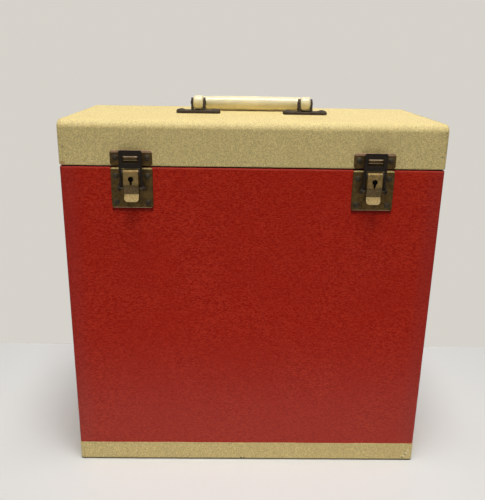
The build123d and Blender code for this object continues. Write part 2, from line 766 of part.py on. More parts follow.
def link_piece(x):
    """The link: a flat frame with a crossbar, its legs spread at the foot into ears on the pins."""
    plane = link_plane(x)
    leg_inner, leg_outer = link_leg_inner, link_leg_outer
    window_half = leg_outer - link_window_side
    foot = link_pin_radius + link_foot
    bar_foot = link_length - link_bar
    crossbar_top = bar_foot - link_window
    with BuildPart() as link:
        with BuildSketch(plane) as frame:
            with BuildLine():
                Polyline(
                    (-leg_outer - link_flare, foot), (-leg_outer - link_flare, foot + link_flare),
                    (-leg_outer, foot + link_flare_length), (-leg_outer, link_length),
                    (leg_outer, link_length), (leg_outer, foot + link_flare_length),
                    (leg_outer + link_flare, foot + link_flare), (leg_outer + link_flare, foot),
                    close=True,
                )
            make_face()
            fillet(frame.vertices().group_by(Axis.Y)[-1], link_corner)
            with Locations((0, crossbar_top + link_window / 2)):
                RectangleRounded(2 * window_half, link_window, link_inner_corner, mode=Mode.SUBTRACT)
            Rectangle(
                2 * leg_inner, crossbar_top - link_crossbar, align=(Align.CENTER, Align.MIN),
                mode=Mode.SUBTRACT,
            )
        extrude(amount=link_sheet / 2, both=True)
        ear_middle = leg_outer + link_flare - link_sheet / 2
        ear_section = Plane(origin=plane.origin, x_dir=plane.z_dir, z_dir=(-1, 0, 0))
        with BuildSketch(*(ear_section.offset(sign * ear_middle) for sign in (-1, 1))):
            Circle(link_ear_radius)
        extrude(amount=link_sheet / 2, both=True)
        with BuildSketch(ear_section):
            Circle(link_pin_radius + running)
        extrude(amount=2 * leg_outer, both=True, mode=Mode.SUBTRACT)
    return link


def link_pins_piece(x):
    """The two short headed pins that stand out of the lever's walls, through the link's ears."""
    section = latch_section(x)
    ear_face = link_leg_outer + link_flare
    with BuildPart() as pins:
        for sign in (-1, 1):
            with BuildSketch(section.offset(sign * lever_inside)):
                with Locations(link_pivot):
                    Circle(link_pin_radius)
            extrude(amount=sign * (ear_face + side_play - lever_inside))
            with BuildSketch(section.offset(sign * (ear_face + side_play))):
                with Locations(link_pivot):
                    Circle(link_head_radius)
            extrude(amount=sign * link_head_height, taper=link_head_taper)
    return pins


lock_place = lever_pivot[1] - lock_drop
lock_back = base_plate_sheet + lock_plate_lift
cam_back = lock_back + lock_plate_sheet + running
cam_front = cam_back + lock_cam_sheet


def lock_plate_piece(x):
    """The lock's plate, held between the lever's walls, and the post that the key turns on."""
    with BuildPart() as plate:
        with BuildSketch(front_plane(x, lock_back)):
            with Locations((0, lock_place)):
                Rectangle(2 * lever_inside, 2 * lock_plate_reach)
        extrude(amount=lock_plate_sheet)
        with BuildSketch(front_plane(x, lock_back)):
            with Locations((0, lock_place)):
                Circle(key_post_radius)
        extrude(amount=lever_face - lever_sheet / 2 - lock_back)
    return plate


def lock_cam_piece(x):
    """The cam that the key turns: at rest its nose points sideways, locked it points down."""
    with BuildPart() as cam:
        with BuildSketch(front_plane(x, cam_back)):
            with Locations((0, lock_place)):
                Circle(lock_cam_radius)
                with Locations((-lock_nose_length + lock_nose_width / 2, 0)):
                    Circle(lock_nose_width / 2)
                Rectangle(
                    lock_nose_length - lock_nose_width / 2, lock_nose_width,
                    align=(Align.MAX, Align.CENTER),
                )
                Circle(key_post_radius + running, mode=Mode.SUBTRACT)
        extrude(amount=lock_cam_sheet)
    return cam


def lock_keeper_piece(x):
    """The hooked keeper on the base plate that the cam's nose turns in behind."""
    lip_back = cam_front + keeper_clearance
    keeper_top = lock_place - lock_nose_length + keeper_overlap
    stem_inner = lock_nose_width / 2 + 2 * keeper_clearance + keeper_sheet
    with BuildPart() as keeper:
        with BuildSketch(Plane(
            origin=front_plane(x).from_local_coords((0, keeper_top, 0)), x_dir=(1, 0, 0), z_dir=(0, 0, -1),
        )):
            with BuildLine():
                Polyline(
                    (stem_inner, base_plate_sheet), (stem_inner, lip_back),
                    (stem_inner + keeper_sheet - keeper_lip, lip_back),
                    (stem_inner + keeper_sheet - keeper_lip, lip_back + keeper_sheet),
                    (stem_inner + keeper_sheet, lip_back + keeper_sheet),
                    (stem_inner + keeper_sheet, base_plate_sheet), close=True,
                )
            make_face()
        extrude(amount=keeper_width)
    return keeper


for side, column in zip(("left", "right"), latch_columns):
    save(catch_plate_piece(column), f"latch_{side}_catch_plate")
    save(base_plate_piece(column), f"latch_{side}_base_plate")
    save(pivot_ears_piece(column), f"latch_{side}_pivot_ears")
    save(lock_keeper_piece(column), f"latch_{side}_lock_keeper")
    save(lever_pin_piece(column), f"latch_{side}_lever_pin")
    save(lever_piece(column), f"latch_{side}_lever")
    save(link_pins_piece(column), f"latch_{side}_link_pins")
    save(link_piece(column), f"latch_{side}_link")
    save(lock_plate_piece(column), f"latch_{side}_lock_plate")
    save(lock_cam_piece(column), f"latch_{side}_lock_cam")

base_rivets = rivets(
    front_plane(0, base_plate_sheet), base_rivet_points, base_plate_sheet + wall_depth,
    rivet_head_radius, rivet_head_height, rivet_radius,
)
save(base_rivets, "latch_base_rivets")
catch_rivets = rivets(
    front_plane(0, catch_plate_sheet), catch_rivet_points, catch_plate_sheet + cloth + lid_board,
    rivet_head_radius, rivet_head_height, rivet_radius,
)
save(catch_rivets, "latch_catch_rivets")
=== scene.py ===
"""Looks of a record carrying case: covering cloths, latches, handle, hinges, stage and camera."""

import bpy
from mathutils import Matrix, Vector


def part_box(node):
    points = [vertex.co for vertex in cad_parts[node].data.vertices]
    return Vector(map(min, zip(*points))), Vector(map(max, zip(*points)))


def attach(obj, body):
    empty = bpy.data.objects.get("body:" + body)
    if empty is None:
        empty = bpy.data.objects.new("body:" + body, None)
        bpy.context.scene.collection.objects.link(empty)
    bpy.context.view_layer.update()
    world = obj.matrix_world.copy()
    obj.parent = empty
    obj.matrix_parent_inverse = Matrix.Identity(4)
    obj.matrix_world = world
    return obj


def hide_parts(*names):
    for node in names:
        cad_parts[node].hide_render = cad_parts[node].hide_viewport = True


bl_info = {
    "name": "Record Carrying Case",
    "version": (1, 0, 0),
    "blender": (4, 5, 0),
    "location": "3D View > Sidebar > Record Case",
    "description": "Cloth-covered record case with draw latches and a folding carrying handle",
    "category": "Add Mesh",
}

import math

import bmesh
import bpy
from bpy.props import FloatProperty, FloatVectorProperty, PointerProperty
from mathutils import Matrix, Vector

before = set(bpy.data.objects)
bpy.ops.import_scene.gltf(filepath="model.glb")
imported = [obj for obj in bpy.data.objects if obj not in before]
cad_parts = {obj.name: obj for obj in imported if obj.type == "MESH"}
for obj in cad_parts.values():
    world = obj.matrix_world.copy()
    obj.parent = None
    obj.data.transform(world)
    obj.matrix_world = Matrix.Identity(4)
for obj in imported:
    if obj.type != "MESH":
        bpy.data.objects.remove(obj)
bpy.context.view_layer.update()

MM = 0.001
SIDES = ("left", "right")


# ---- places on the case ---------------------------------------------------------------------------
# Sizes and places are in millimetres, and the stage's, with its lights and camera, in metres.
def in_mm(node):
    """Lowest and highest corner of a frame node."""
    low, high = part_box(node)
    return low / MM, high / MM


def middle_of(node):
    """Where the middle of a frame node lies across the case."""
    low, high = in_mm(node)
    return (low.x + high.x) / 2


body_low, body_high = in_mm("body_cloth")
lid_low, lid_high = in_mm("lid_cloth")
case_front, case_back = body_low.y, body_high.y
lid_top = lid_high.z
seam_level = (body_high.z + lid_low.z) / 2


def on_front(x):
    """Local x across, y up from the seam, z outwards, on the front of the case at x."""
    return Matrix(((1, 0, 0, x), (0, 0, -1, case_front), (0, 1, 0, seam_level), (0, 0, 0, 1)))


def on_back(x):
    """The same on the back of the case."""
    return Matrix(((-1, 0, 0, x), (0, 0, 1, case_back), (0, 1, 0, seam_level), (0, 0, 0, 1)))


def on_lid(x):
    """Local x across, y to the back, z upwards, on top of the lid at x."""
    return Matrix.Translation((x, 0, lid_top))


# ---- settings -------------------------------------------------------------------------------------
def colour(name, description, default):
    return FloatVectorProperty(
        name=name, description=description, default=default, size=3, min=0.0, max=1.0, subtype="COLOR")


def length(name, description, millimetres):
    return FloatProperty(
        name=name, description=description, default=millimetres * MM, min=0.0, unit="LENGTH", precision=5)


def power(name, description, watts):
    return FloatProperty(name=name, description=description, default=watts, min=0.0, unit="POWER")


def angle(name, description, degrees):
    return FloatProperty(
        name=name, description=description, default=math.radians(degrees), subtype="ANGLE")


class CaseColours(bpy.types.PropertyGroup):
    """Colours of the case's finishes, in linear light."""

    red_cloth: colour("Red cloth", "Covering cloth of the body", (0.485, 0.0150, 0.0040))
    cream_cloth: colour("Cream cloth", "Covering cloth of the lid and the foot band", (0.765, 0.615, 0.265))
    grip: colour("Grip", "Moulded plastic of the carrying handle", (0.83, 0.74, 0.47))
    brass: colour("Brass", "Worn brass of the levers", (0.240, 0.155, 0.052))
    bronze: colour("Bronze", "Bronzed steel of the latch plates and hinges", (0.092, 0.056, 0.0175))
    link: colour("Links", "Browned steel of the latch links", (0.017, 0.0105, 0.0062))
    rivet: colour("Rivets", "Oxidised rivet heads", (0.052, 0.039, 0.021))
    plate: colour("Handle plates", "Browned steel of the handle plates", (0.040, 0.024, 0.010))
    pins: colour("Pins", "Browned steel of the pins", (0.034, 0.025, 0.016))
    # Blackened steel, darkened further as painted shade seen through the keyhole.
    lock: colour("Lock parts", "Blackened steel of the lock parts and washers", (0.009, 0.0084, 0.0075))
    wood: colour("Wood", "Bare wood of the boards", (0.50, 0.34, 0.18))
    paper: colour("Lining paper", "Paper and boards inside the case", (0.56, 0.47, 0.34))
    base: colour("Base sheet", "Sheet under the case", (0.085, 0.07, 0.055))


class ClothSizes(bpy.types.PropertyGroup):
    """Sizes of the grain and of the turned edges of the covering cloths."""

    red_streak: length("Red streak length", "Length of the streaks across the red cloth", 2.4)
    red_streak_width: length("Red streak width", "Width of the streaks across the red cloth", 0.95)
    cream_grain: length("Cream grain", "Size of the pebbles in the cream cloth", 0.95)
    rim_round: length("Rim round", "Radius of the cloth where it turns over a rim", 1.2)
    end_lap: length("End lap", "How far the end cloth laps round on to the lid's front", 2.6)


class StageSettings(bpy.types.PropertyGroup):
    """Floor, light and camera."""

    floor: colour("Floor", "Pale floor round the case", (0.735, 0.732, 0.703))
    backdrop: colour("Backdrop", "Pale wall behind the case", (0.672, 0.645, 0.595))
    overhead: power("Overhead light", "Power of the light above the case", 10.3)
    fill: power("Fill light", "Power of the light in front of the case; the one behind has twice that", 1.05)
    sky: FloatProperty(
        name="Sky light", description="Strength of the even light from all round", default=0.15, min=0.0)
    lens: FloatProperty(
        name="Lens", description="Focal length of the camera", default=43.65, min=1.0, unit="CAMERA")
    camera_yaw: angle("Camera yaw", "How far the camera turns to the right", 0.96)
    camera_pitch: angle("Camera pitch", "How far the camera looks down", 17.86)
    camera_roll: angle("Camera roll", "How far the camera leans", 0.93)
    camera_place: FloatVectorProperty(
        name="Camera place", description="Where the camera stands", default=(-0.0176, -0.6299, 0.4090),
        size=3, unit="LENGTH", subtype="TRANSLATION", precision=4)


# ---- node trees -----------------------------------------------------------------------------------
class Nodes:
    """A node tree under construction: each method adds nodes and gives back their result."""

    def __init__(self, tree):
        self.tree = tree
        tree.nodes.clear()

    def add(self, kind, **settings):
        node = self.tree.nodes.new(kind)
        for key, value in settings.items():
            setattr(node, key, value)
        return node

    def put(self, node, name, value):
        """A value or another node's result into a socket."""
        socket = node.inputs[name]
        if isinstance(value, bpy.types.NodeSocket):
            self.tree.links.new(value, socket)
        elif hasattr(socket.default_value, "__len__") and len(socket.default_value) == 4:
            socket.default_value = (*value[:3], 1.0)
        else:
            socket.default_value = value

    def maths(self, operation, a, b=0.5, c=None, clamp=False):
        node = self.add("ShaderNodeMath", operation=operation, use_clamp=clamp)
        self.put(node, 0, a)
        self.put(node, 1, b)
        if c is not None:
            self.put(node, 2, c)
        return node.outputs[0]

    def times(self, a, b):
        return self.maths("MULTIPLY", a, b)

    def seen_directly(self):
        """1 for rays that show the background: from the camera, mirrored or through something clear."""
        path = self.add("ShaderNodeLightPath")
        both = self.maths("ADD", path.outputs["Is Camera Ray"], path.outputs["Is Glossy Ray"])
        return self.maths("ADD", both, path.outputs["Is Transmission Ray"], clamp=True)

    def surface(self, output, share, first, second):
        """Close the tree with two shaders mixed by a share."""
        mix = self.add("ShaderNodeMixShader")
        for socket, value in enumerate((share, first.outputs[0], second.outputs[0])):
            self.put(mix, socket, value)
        self.put(self.add(output), "Surface", mix.outputs[0])


class Finish(Nodes):
    """A material under construction."""

    def __init__(self, name):
        self.material = bpy.data.materials.new(name)
        self.material.use_nodes = True
        super().__init__(self.material.node_tree)
        self.place = self.add("ShaderNodeTexCoord").outputs["Object"]

    def noise(self, size, detail=2.0, roughness=0.5, distortion=0.0, place=None):
        """Noise whose patches are size across: one number, or one for each axis."""
        node = self.add("ShaderNodeTexNoise")
        if isinstance(size, tuple):
            stretched = self.add("ShaderNodeMapping")
            self.put(stretched, "Vector", place or self.place)
            self.put(stretched, "Scale", tuple(1.0 / (across * MM) for across in size))
            self.put(node, "Vector", stretched.outputs[0])
            self.put(node, "Scale", 1.0)
        else:
            self.put(node, "Vector", self.place)
            self.put(node, "Scale", 1.0 / (size * MM))
        self.put(node, "Detail", detail)
        self.put(node, "Roughness", roughness)
        self.put(node, "Distortion", distortion)
        return node.outputs["Fac"]

    def pebbles(self, size):
        """Distance from the middle of the nearest pebble, about size apart."""
        node = self.add("ShaderNodeTexVoronoi")
        self.put(node, "Vector", self.place)
        self.put(node, "Scale", 1.0 / (size * MM))
        return node.outputs["Distance"]

    def warped(self, amount, size):
        """Coordinates pushed about by a soft noise, amount far."""
        node = self.add("ShaderNodeTexNoise")
        self.put(node, "Vector", self.place)
        self.put(node, "Scale", 1.0 / (size * MM))
        self.put(node, "Detail", 1.0)
        centred = self.add("ShaderNodeVectorMath", operation="SUBTRACT")
        self.put(centred, 0, node.outputs["Color"])
        self.put(centred, 1, (0.5, 0.5, 0.5))
        pushed = self.add("ShaderNodeVectorMath", operation="MULTIPLY_ADD")
        self.put(pushed, 0, centred.outputs[0])
        self.put(pushed, 1, (2 * amount * MM,) * 3)
        self.put(pushed, 2, self.place)
        return pushed.outputs[0]

    def axis(self, letter):
        """Place along an axis, in metres."""
        node = self.add("ShaderNodeSeparateXYZ")
        self.put(node, 0, self.place)
        return node.outputs[letter]

    def along(self, letter):
        """Place along an axis, in millimetres."""
        return self.maths("DIVIDE", self.axis(letter), MM)

    def level(self):
        """Height above the seam between body and lid."""
        return self.maths("SUBTRACT", self.along("Z"), seam_level)

    def span(self, value, low, high, to_low=0.0, to_high=1.0):
        """A value's range stretched smoothly to another and held there."""
        node = self.add("ShaderNodeMapRange", interpolation_type="SMOOTHSTEP")
        for name, number in (("Value", value), ("From Min", low), ("From Max", high),
                             ("To Min", to_low), ("To Max", to_high)):
            self.put(node, name, number)
        return node.outputs["Result"]

    def band(self, value, low, high, soft=0.15):
        """1 between two values, 0 outside."""
        rising = self.span(value, low - soft, low + soft)
        return self.times(rising, self.span(value, high - soft, high + soft, 1.0, 0.0))

    def front_side(self):
        """1 on the case's front side."""
        return self.span(self.along("Y"), case_front + 4.0, case_front + 6.0, 1.0, 0.0)

    def spot(self, x, level, radius):
        """1 inside a ragged spot on the front or back."""
        sideways = self.maths("SUBTRACT", self.along("X"), x)
        upwards = self.maths("SUBTRACT", self.level(), level)
        reach = self.maths("SQRT", self.maths(
            "MULTIPLY_ADD", sideways, sideways, self.times(upwards, upwards)))
        ragged = self.maths("MULTIPLY_ADD", self.noise(1.5), radius, reach)
        return self.span(ragged, radius * 1.2, radius * 1.7, 1.0, 0.0)

    def edges(self):
        """1 on outward edges, 0 elsewhere."""
        return self.span(self.add("ShaderNodeNewGeometry").outputs["Pointiness"], 0.56, 0.66)

    def blend(self, share, first, second):
        """Two colours mixed: a share of the second over the first."""
        node = self.add("ShaderNodeMix", data_type="RGBA", blend_type="MIX")
        self.put(node, 0, share)
        self.put(node, 6, first)
        self.put(node, 7, second)
        return node.outputs[2]

    def relief(self, height, depth, strength=1.0):
        """A normal raised by a height between 0 and 1, depth deep."""
        node = self.add("ShaderNodeBump")
        self.put(node, "Height", height)
        self.put(node, "Distance", depth * MM)
        self.put(node, "Strength", strength)
        return node.outputs[0]

    def close(self, base, roughness, normal, metallic=0.0, **more):
        """Close the material with a surface of this colour, gloss and relief, and give it back."""
        shader = self.add("ShaderNodeBsdfPrincipled")
        self.put(shader, "Base Color", base)
        self.put(shader, "Roughness", roughness)
        self.put(shader, "Normal", normal)
        self.put(shader, "Metallic", metallic)
        for name, value in more.items():
            self.put(shader, name.replace("_", " ").title().replace("Ior", "IOR"), value)
        self.put(self.add("ShaderNodeOutputMaterial"), "Surface", shader.outputs[0])
        return self.material


def tint(value, *factors):
    """A colour made lighter or darker: by one factor, or by one for each channel."""
    return tuple(min(1.0, channel * factor) for channel, factor in zip(value, (factors * 3)[:3]))


# ---- finishes -------------------------------------------------------------------------------------
# Levels are heights above the seam.
# Where the foot's dust and painted floor reflection begin, and where they are full.
FOOT_DUST_AND_REFLECTION_TOP, FOOT_DUST_AND_REFLECTION_END = -150.0, -285.0
DARKER_SIDE_OUTER, DARKER_SIDE_INNER = 4.0, 22.0    # how far in from a side the darker strip is full, and ends
LATCH_SHADOW_DROP = 5.5                            # how far the painted shadow reaches below a latch
RIM_HIGHLIGHT = 1.7                              # height of the painted highlight line along the body's rim
LAP_SHADOW = 3.5                            # how far in from the lid's left end the lap's painted shadow line lies
RIM_GRIME_AND_SHADE = 3.0                              # height of the darkened cloth along the lid's rim: grime, and painted shade of the seam's gap
FLOOR_SHADOW, FLOOR_SHADOW_END = 1.6, 2.3       # where the foot's painted contact shadow begins to fade, and ends

# Small marks on the front of the cream cloth: across, level, radius, colour, share.
CREAM_MARKS = (
    (-170.5, 16.8, 0.8, (0.13, 0.10, 0.06), 0.6),
    (-167.8, 9.5, 0.6, (0.16, 0.12, 0.07), 0.7),
    (172.6, 33.5, 1.2, (0.24, 0.17, 0.09), 0.35),
    (171.0, 12.0, 1.0, (0.20, 0.14, 0.08), 0.6),
    (-6.4, -310.0, 1.3, (0.07, 0.05, 0.03), 0.9),
    (-3.6, -309.6, 1.0, (0.09, 0.07, 0.04), 0.8),
    (165.0, -308.0, 1.3, (0.20, 0.15, 0.08), 0.7),
    (166.3, -306.0, 1.5, (0.95, 0.86, 0.55), 0.6),
    (167.6, -304.5, 1.2, (0.22, 0.16, 0.09), 0.6),
    (168.8, -302.5, 1.5, (0.95, 0.86, 0.55), 0.6),
    (170.4, -299.5, 1.4, (0.95, 0.86, 0.55), 0.5),
    (-171.5, 2.4, 2.0, (0.50, 0.20, 0.10), 0.5),
    (60.0, 22.0, 0.7, (0.24, 0.18, 0.09), 0.6),
    (102.0, 11.0, 0.5, (0.24, 0.18, 0.09), 0.6),
)

# Zones on the latches: lowest and highest level, colour, share. The lever's lower face is darkened, and
# its finger tab is rubbed bright and given a painted highlight where it faces the light. The hook gets
# painted highlights on its lips and painted shade between them. The catch plate's top border and the
# base plate's foot get a painted highlight; the base plate's top border is worn to the metal and given
# a painted highlight.
LEVER_ZONES = (
    (-24.6, -15.8, (0.060, 0.036, 0.0125), 1.0),
    (-40.0, -24.4, (0.580, 0.420, 0.180), 1.0),
)
HOOK_PAINTED_LIGHT = (
    (8.9, 11.0, (0.90, 0.68, 0.44), 0.95),
    (6.7, 8.6, (0.045, 0.028, 0.010), 0.95),
    (5.0, 6.4, (0.60, 0.45, 0.28), 0.90),
)
PLATE_WEAR_AND_HIGHLIGHTS = (
    (12.6, 16.0, (0.36, 0.23, 0.145), 0.75),
    (-2.3, 0.0, (0.62, 0.50, 0.21), 0.90),
    (-38.6, -37.4, (0.52, 0.38, 0.23), 0.70),
)

# Each metal's colour setting and its look.
METALS = {
    "lever_brass": ("brass", dict(
        worn=(0.50, 0.38, 0.20), rough=0.50, wear=0.10, patina=(0.085, 0.055, 0.020), spots=0.40,
        metallic=0.6, specular=0.4, zones=LEVER_ZONES)),
    "bronzed_steel": ("bronze", dict(
        worn=(0.36, 0.24, 0.11), rough=0.47, wear=0.6, zones=PLATE_WEAR_AND_HIGHLIGHTS)),
    "hook_steel": ("bronze", dict(
        worn=(0.30, 0.20, 0.10), wear=0.2, zones=HOOK_PAINTED_LIGHT)),
    "dark_link": ("link", dict(
        worn=(0.085, 0.062, 0.038), rough=0.50, wear=0.5, patina=(0.008, 0.006, 0.004), metallic=0.2,
        specular=0.22)),
    "rivet_brass": ("rivet", dict(
        worn=(0.15, 0.11, 0.07), rough=0.60, wear=0.3, patina=(0.022, 0.015, 0.008), metallic=0.4,
        specular=0.3)),
    "handle_steel": ("plate", dict(
        worn=(0.10, 0.066, 0.034), rough=0.68, wear=0.5, patina=(0.030, 0.018, 0.009), metallic=0.25)),
    "steel_pins": ("pins", dict(
        worn=(0.13, 0.10, 0.065), rough=0.60, metallic=0.3, specular=0.25)),
    "hinge_steel": ("bronze", dict(
        worn=(0.40, 0.28, 0.15), rough=0.46, wear=0.35, spots=0.2)),
    "lock_steel": ("lock", dict(
        worn=(0.03, 0.025, 0.02), rough=0.7, patina=(0.004, 0.003, 0.002), metallic=0.2, specular=0.08)),
}

# Finishes by how a frame node's name ends: the first ending that fits holds.
NODE_FINISHES = {
    "body_cloth": "red_cloth",
    "base_band": "cream_cloth",
    "lid_cloth": "cream_cloth",
    "base_sheet": "base_board",
    "_board": "wood_board",
    "_liner": "lining_paper",
    "lid_paper": "lining_paper",
    "handle_grip": "grip_plastic",
    "handle_left_plate": "handle_steel",
    "handle_right_plate": "handle_steel",
    "handle_rivets": "handle_steel",
    "_rivets": "rivet_brass",
    "_pins": "steel_pins",
    "_lever_pin": "steel_pins",
    "_leaf": "hinge_steel",
    "_base_plate": "bronzed_steel",
    "_catch_plate": "bronzed_steel",
    "_pivot_ears": "dark_link",
    "_link": "dark_link",
    "_lever": "lever_brass",
    "_lock_plate": "lock_steel",
    "_lock_cam": "lock_steel",
    "_lock_keeper": "lock_steel",
    "_washers": "lock_steel",
}
finishes = {}


def red_cloth_finish(colours, cloths):
    """Red cloth: streaks, scuffs, darker sides, dust and painted reflection at the foot, painted shadow under
    the latches.
    """
    f = Finish("red_cloth")
    red = tuple(colours.red_cloth)
    streak, width = cloths.red_streak / MM, cloths.red_streak_width / MM
    streaks = f.noise((streak, streak, width), 2.5, 0.6, 0.6, f.warped(1.2, 6.0))
    grain = f.noise(1.1, 2.0, 0.6, 0.5)
    patches = f.noise(60.0, 3.0, 0.5)
    # Painted glints: the streaks' light side and the pale grain specks are whitened over the cloth's own
    # tone.
    body = f.blend(f.span(streaks, 0.36, 0.64), tint(red, 0.76, 0.5, 0.5), tint(red, 1.20, 2.3, 3.0))
    body = f.blend(f.span(patches, 0.3, 0.7, 0.0, 0.5), body, tint(red, 0.93))
    body = f.blend(f.span(grain, 0.56, 0.74, 0.0, 0.17), body, (0.70, 0.22, 0.17))
    scuffs = f.span(f.noise((22.0, 22.0, 5.0), 4.0, 0.7, 1.2), 0.72, 0.84, 0.0, 0.20)
    body = f.blend(scuffs, body, (0.60, 0.16, 0.11))
    across = f.maths("ABSOLUTE", f.along("X"))
    # The cloth is darker towards its left and right sides.
    darker_sides = f.span(across, body_high.x - DARKER_SIDE_INNER, body_high.x - DARKER_SIDE_OUTER, 0.0, 0.24)
    body = f.blend(darker_sides, body, (0.30, 0.050, 0.045))
    level = f.level()
    # The foot is paled by dust and by a painted reflection of the floor.
    body = f.blend(f.span(level, FOOT_DUST_AND_REFLECTION_TOP, FOOT_DUST_AND_REFLECTION_END, 0.0, 0.075), body, (0.62, 0.40, 0.34))
    # A painted shadow on the cloth just below each latch's base plate.
    sideways = f.maths("ABSOLUTE", f.maths("SUBTRACT", across, middle_of("latch_right_base_plate")))
    darkening = f.times(f.span(sideways, LATCH_WIDTH / 2 - 1.0, LATCH_WIDTH / 2 + 0.4, 1.0, 0.0),
                    f.span(level, BASE_BOTTOM - LATCH_SHADOW_DROP, BASE_BOTTOM - 0.8))
    body = f.blend(f.times(f.times(darkening, f.front_side()), 0.72), body, tint(red, 0.12))
    top = body_high.z - seam_level
    # A painted highlight line along the rim's rounded edge.
    body = f.blend(f.times(f.band(level, top - RIM_HIGHLIGHT, top - 0.2), 0.30), body, (0.66, 0.10, 0.075))
    # The rim's top, seen through the seam's gap, is darkened: painted shade of the gap, with some grime.
    body = f.blend(f.span(level, top - 0.12, top - 0.03), body, tint(red, 0.20))
    normal = f.relief(f.maths("MULTIPLY_ADD", grain, 0.5, streaks), 0.22, 0.7)
    return f.close(body, f.span(streaks, 0.3, 0.7, 0.62, 0.50), normal, specular_ior_level=0.09)


def cream_cloth_finish(colours, cloths):
    """Cream pebbled cloth: stains, specks, single marks, painted shadow at lap and foot, rim grime and
    painted shade.
    """
    f = Finish("cream_cloth")
    cream = tuple(colours.cream_cloth)
    dirt_and_shade = (0.20, 0.14, 0.07)
    worms = f.noise((cloths.cream_grain / MM,) * 3, 3.0, 0.65, 0.9, f.warped(0.8, 5.0))
    fine = f.noise(0.7, 2.0, 0.6)
    stains = f.noise(60.0, 4.0, 0.6, 0.4)
    body = f.blend(f.span(worms, 0.36, 0.64), tint(cream, 0.72, 0.69, 0.66), tint(cream, 1.24))
    body = f.blend(f.span(stains, 0.42, 0.72, 0.0, 0.30), body, (0.66, 0.50, 0.20))
    body = f.blend(f.span(f.pebbles(9.0), 0.055, 0.035, 0.0, 0.55), body, dirt_and_shade)
    front = f.front_side()
    shadow = lid_low.x + LAP_SHADOW
    # A painted shadow line beside the end cloth's lap, broken by the grain.
    lap = f.times(f.band(f.along("X"), shadow - 0.2, shadow + 0.2, 0.3), front)
    body = f.blend(f.times(lap, f.span(worms, 0.3, 0.6, 0.1, 0.5)), body, dirt_and_shade)
    for x, level, radius, shade, share in CREAM_MARKS:
        there = f.times(f.spot(x, level, radius), front)
        body = f.blend(f.times(there, share), body, shade)
    # A painted contact shadow along the foot, where it stands on the floor.
    standing = f.span(f.level(), FLOOR_SHADOW - seam_level, FLOOR_SHADOW_END - seam_level, 1.0, 0.0)
    body = f.blend(f.times(standing, 0.8), body, (0.085, 0.065, 0.035))
    # The lid's rim, seen through the seam's gap, is darkened by grime and by painted shade of the gap.
    rim = lid_low.z - seam_level
    body = f.blend(f.band(f.level(), rim - RIM_GRIME_AND_SHADE, rim + 0.08, 0.04), body, (0.130, 0.098, 0.052))
    normal = f.relief(f.maths("MULTIPLY_ADD", fine, 0.3, worms), 0.34, 0.8)
    return f.close(body, f.span(worms, 0.3, 0.7, 0.66, 0.54), normal, specular_ior_level=0.35)


def wood_finish(colours):
    """Planed wood with long rings and open pores."""
    f = Finish("wood_board")
    wood = tuple(colours.wood)
    rings = f.noise((60.0, 2.2, 60.0), 4.0, 0.6, 0.8)
    pores = f.noise((9.0, 0.5, 0.5))
    body = f.blend(f.span(rings, 0.35, 0.65), tint(wood, 0.78), tint(wood, 1.15))
    body = f.blend(f.span(pores, 0.60, 0.72, 0.0, 0.5), body, tint(wood, 0.55))
    return f.close(body, 0.72, f.relief(pores, 0.08), specular_ior_level=0.25)


def paper_finish(name, base, fleck, size):
    """Mottled paper or fibre board."""
    f = Finish(name)
    mottle = f.noise(size, 4.0, 0.65, 0.6)
    fibres = f.noise((3.0, 0.5, 3.0), 2.0, 0.5, 1.5)
    body = f.blend(f.span(mottle, 0.3, 0.7), tint(base, 0.86), tint(base, 1.08))
    body = f.blend(f.span(fibres, 0.62, 0.74, 0.0, 0.4), body, fleck)
    return f.close(body, 0.85, f.relief(fibres, 0.05), specular_ior_level=0.2)


def plastic_finish(colours):
    """Cream moulded plastic, clouded and a little grimy."""
    f = Finish("grip_plastic")
    cream = tuple(colours.grip)
    clouds = f.noise(18.0, 3.0, 0.5, 0.5)
    body = f.blend(f.span(clouds, 0.3, 0.7), tint(cream, 0.93), tint(cream, 1.04))
    darkening = f.span(f.noise(5.0, 4.0, 0.7), 0.56, 0.75, 0.0, 0.22)
    body = f.blend(darkening, body, (0.52, 0.38, 0.16))
    skin = f.relief(f.noise(6.0), 0.10, 0.5)
    return f.close(body, f.span(clouds, 0.3, 0.7, 0.30, 0.42), skin, specular_ior_level=0.5,
                   subsurface_weight=0.12, subsurface_radius=(0.004, 0.003, 0.0015))


def metal_finish(name, base, worn, rough=0.42, wear=0.8, patina=(0.026, 0.017, 0.007), spots=0.35,
                 metallic=0.85, specular=0.5, zones=()):
    """Sheet metal: a darkened skin, spotted, rubbed bright on its edges, with zones of wear, darkening,
    painted highlights and painted shade.
    """
    f = Finish(name)
    cloudy = f.noise(4.0, 4.0, 0.65, 0.6)
    fine = f.noise(0.6, 3.0, 0.6)
    body = f.blend(f.span(cloudy, 0.32, 0.70), tint(base, 0.70), tint(base, 1.25))
    if zones:
        level = f.level()
        drawn = f.noise((0.9, 0.9, 7.0), 2.0, 0.6, 0.3)
        broken = f.times(f.span(cloudy, 0.25, 0.55, 0.7, 1.0), f.span(drawn, 0.36, 0.6, 0.55, 1.0))
        # Zones of wear, darkening, painted highlight and painted shade at given levels.
        for low, high, shade, share in zones:
            there = f.times(f.band(level, low, high, 0.2), broken)
            body = f.blend(f.times(there, share), body, shade)
    body = f.blend(f.span(f.noise(1.6, 4.0, 0.75, 0.8), 0.54, 0.72, 0.0, spots), body, patina)
    rubbed = f.times(f.edges(), f.span(cloudy, 0.2, 0.6, 0.35, 1.0))
    body = f.blend(f.times(rubbed, wear), body, worn)
    gloss = f.span(cloudy, 0.3, 0.7, rough + 0.10, rough - 0.06)
    gloss = f.maths("SUBTRACT", gloss, f.times(rubbed, 0.12))
    normal = f.relief(f.maths("MULTIPLY_ADD", fine, 0.3, cloudy), 0.06, 0.6)
    return f.close(body, gloss, normal, metallic, specular_ior_level=specular)


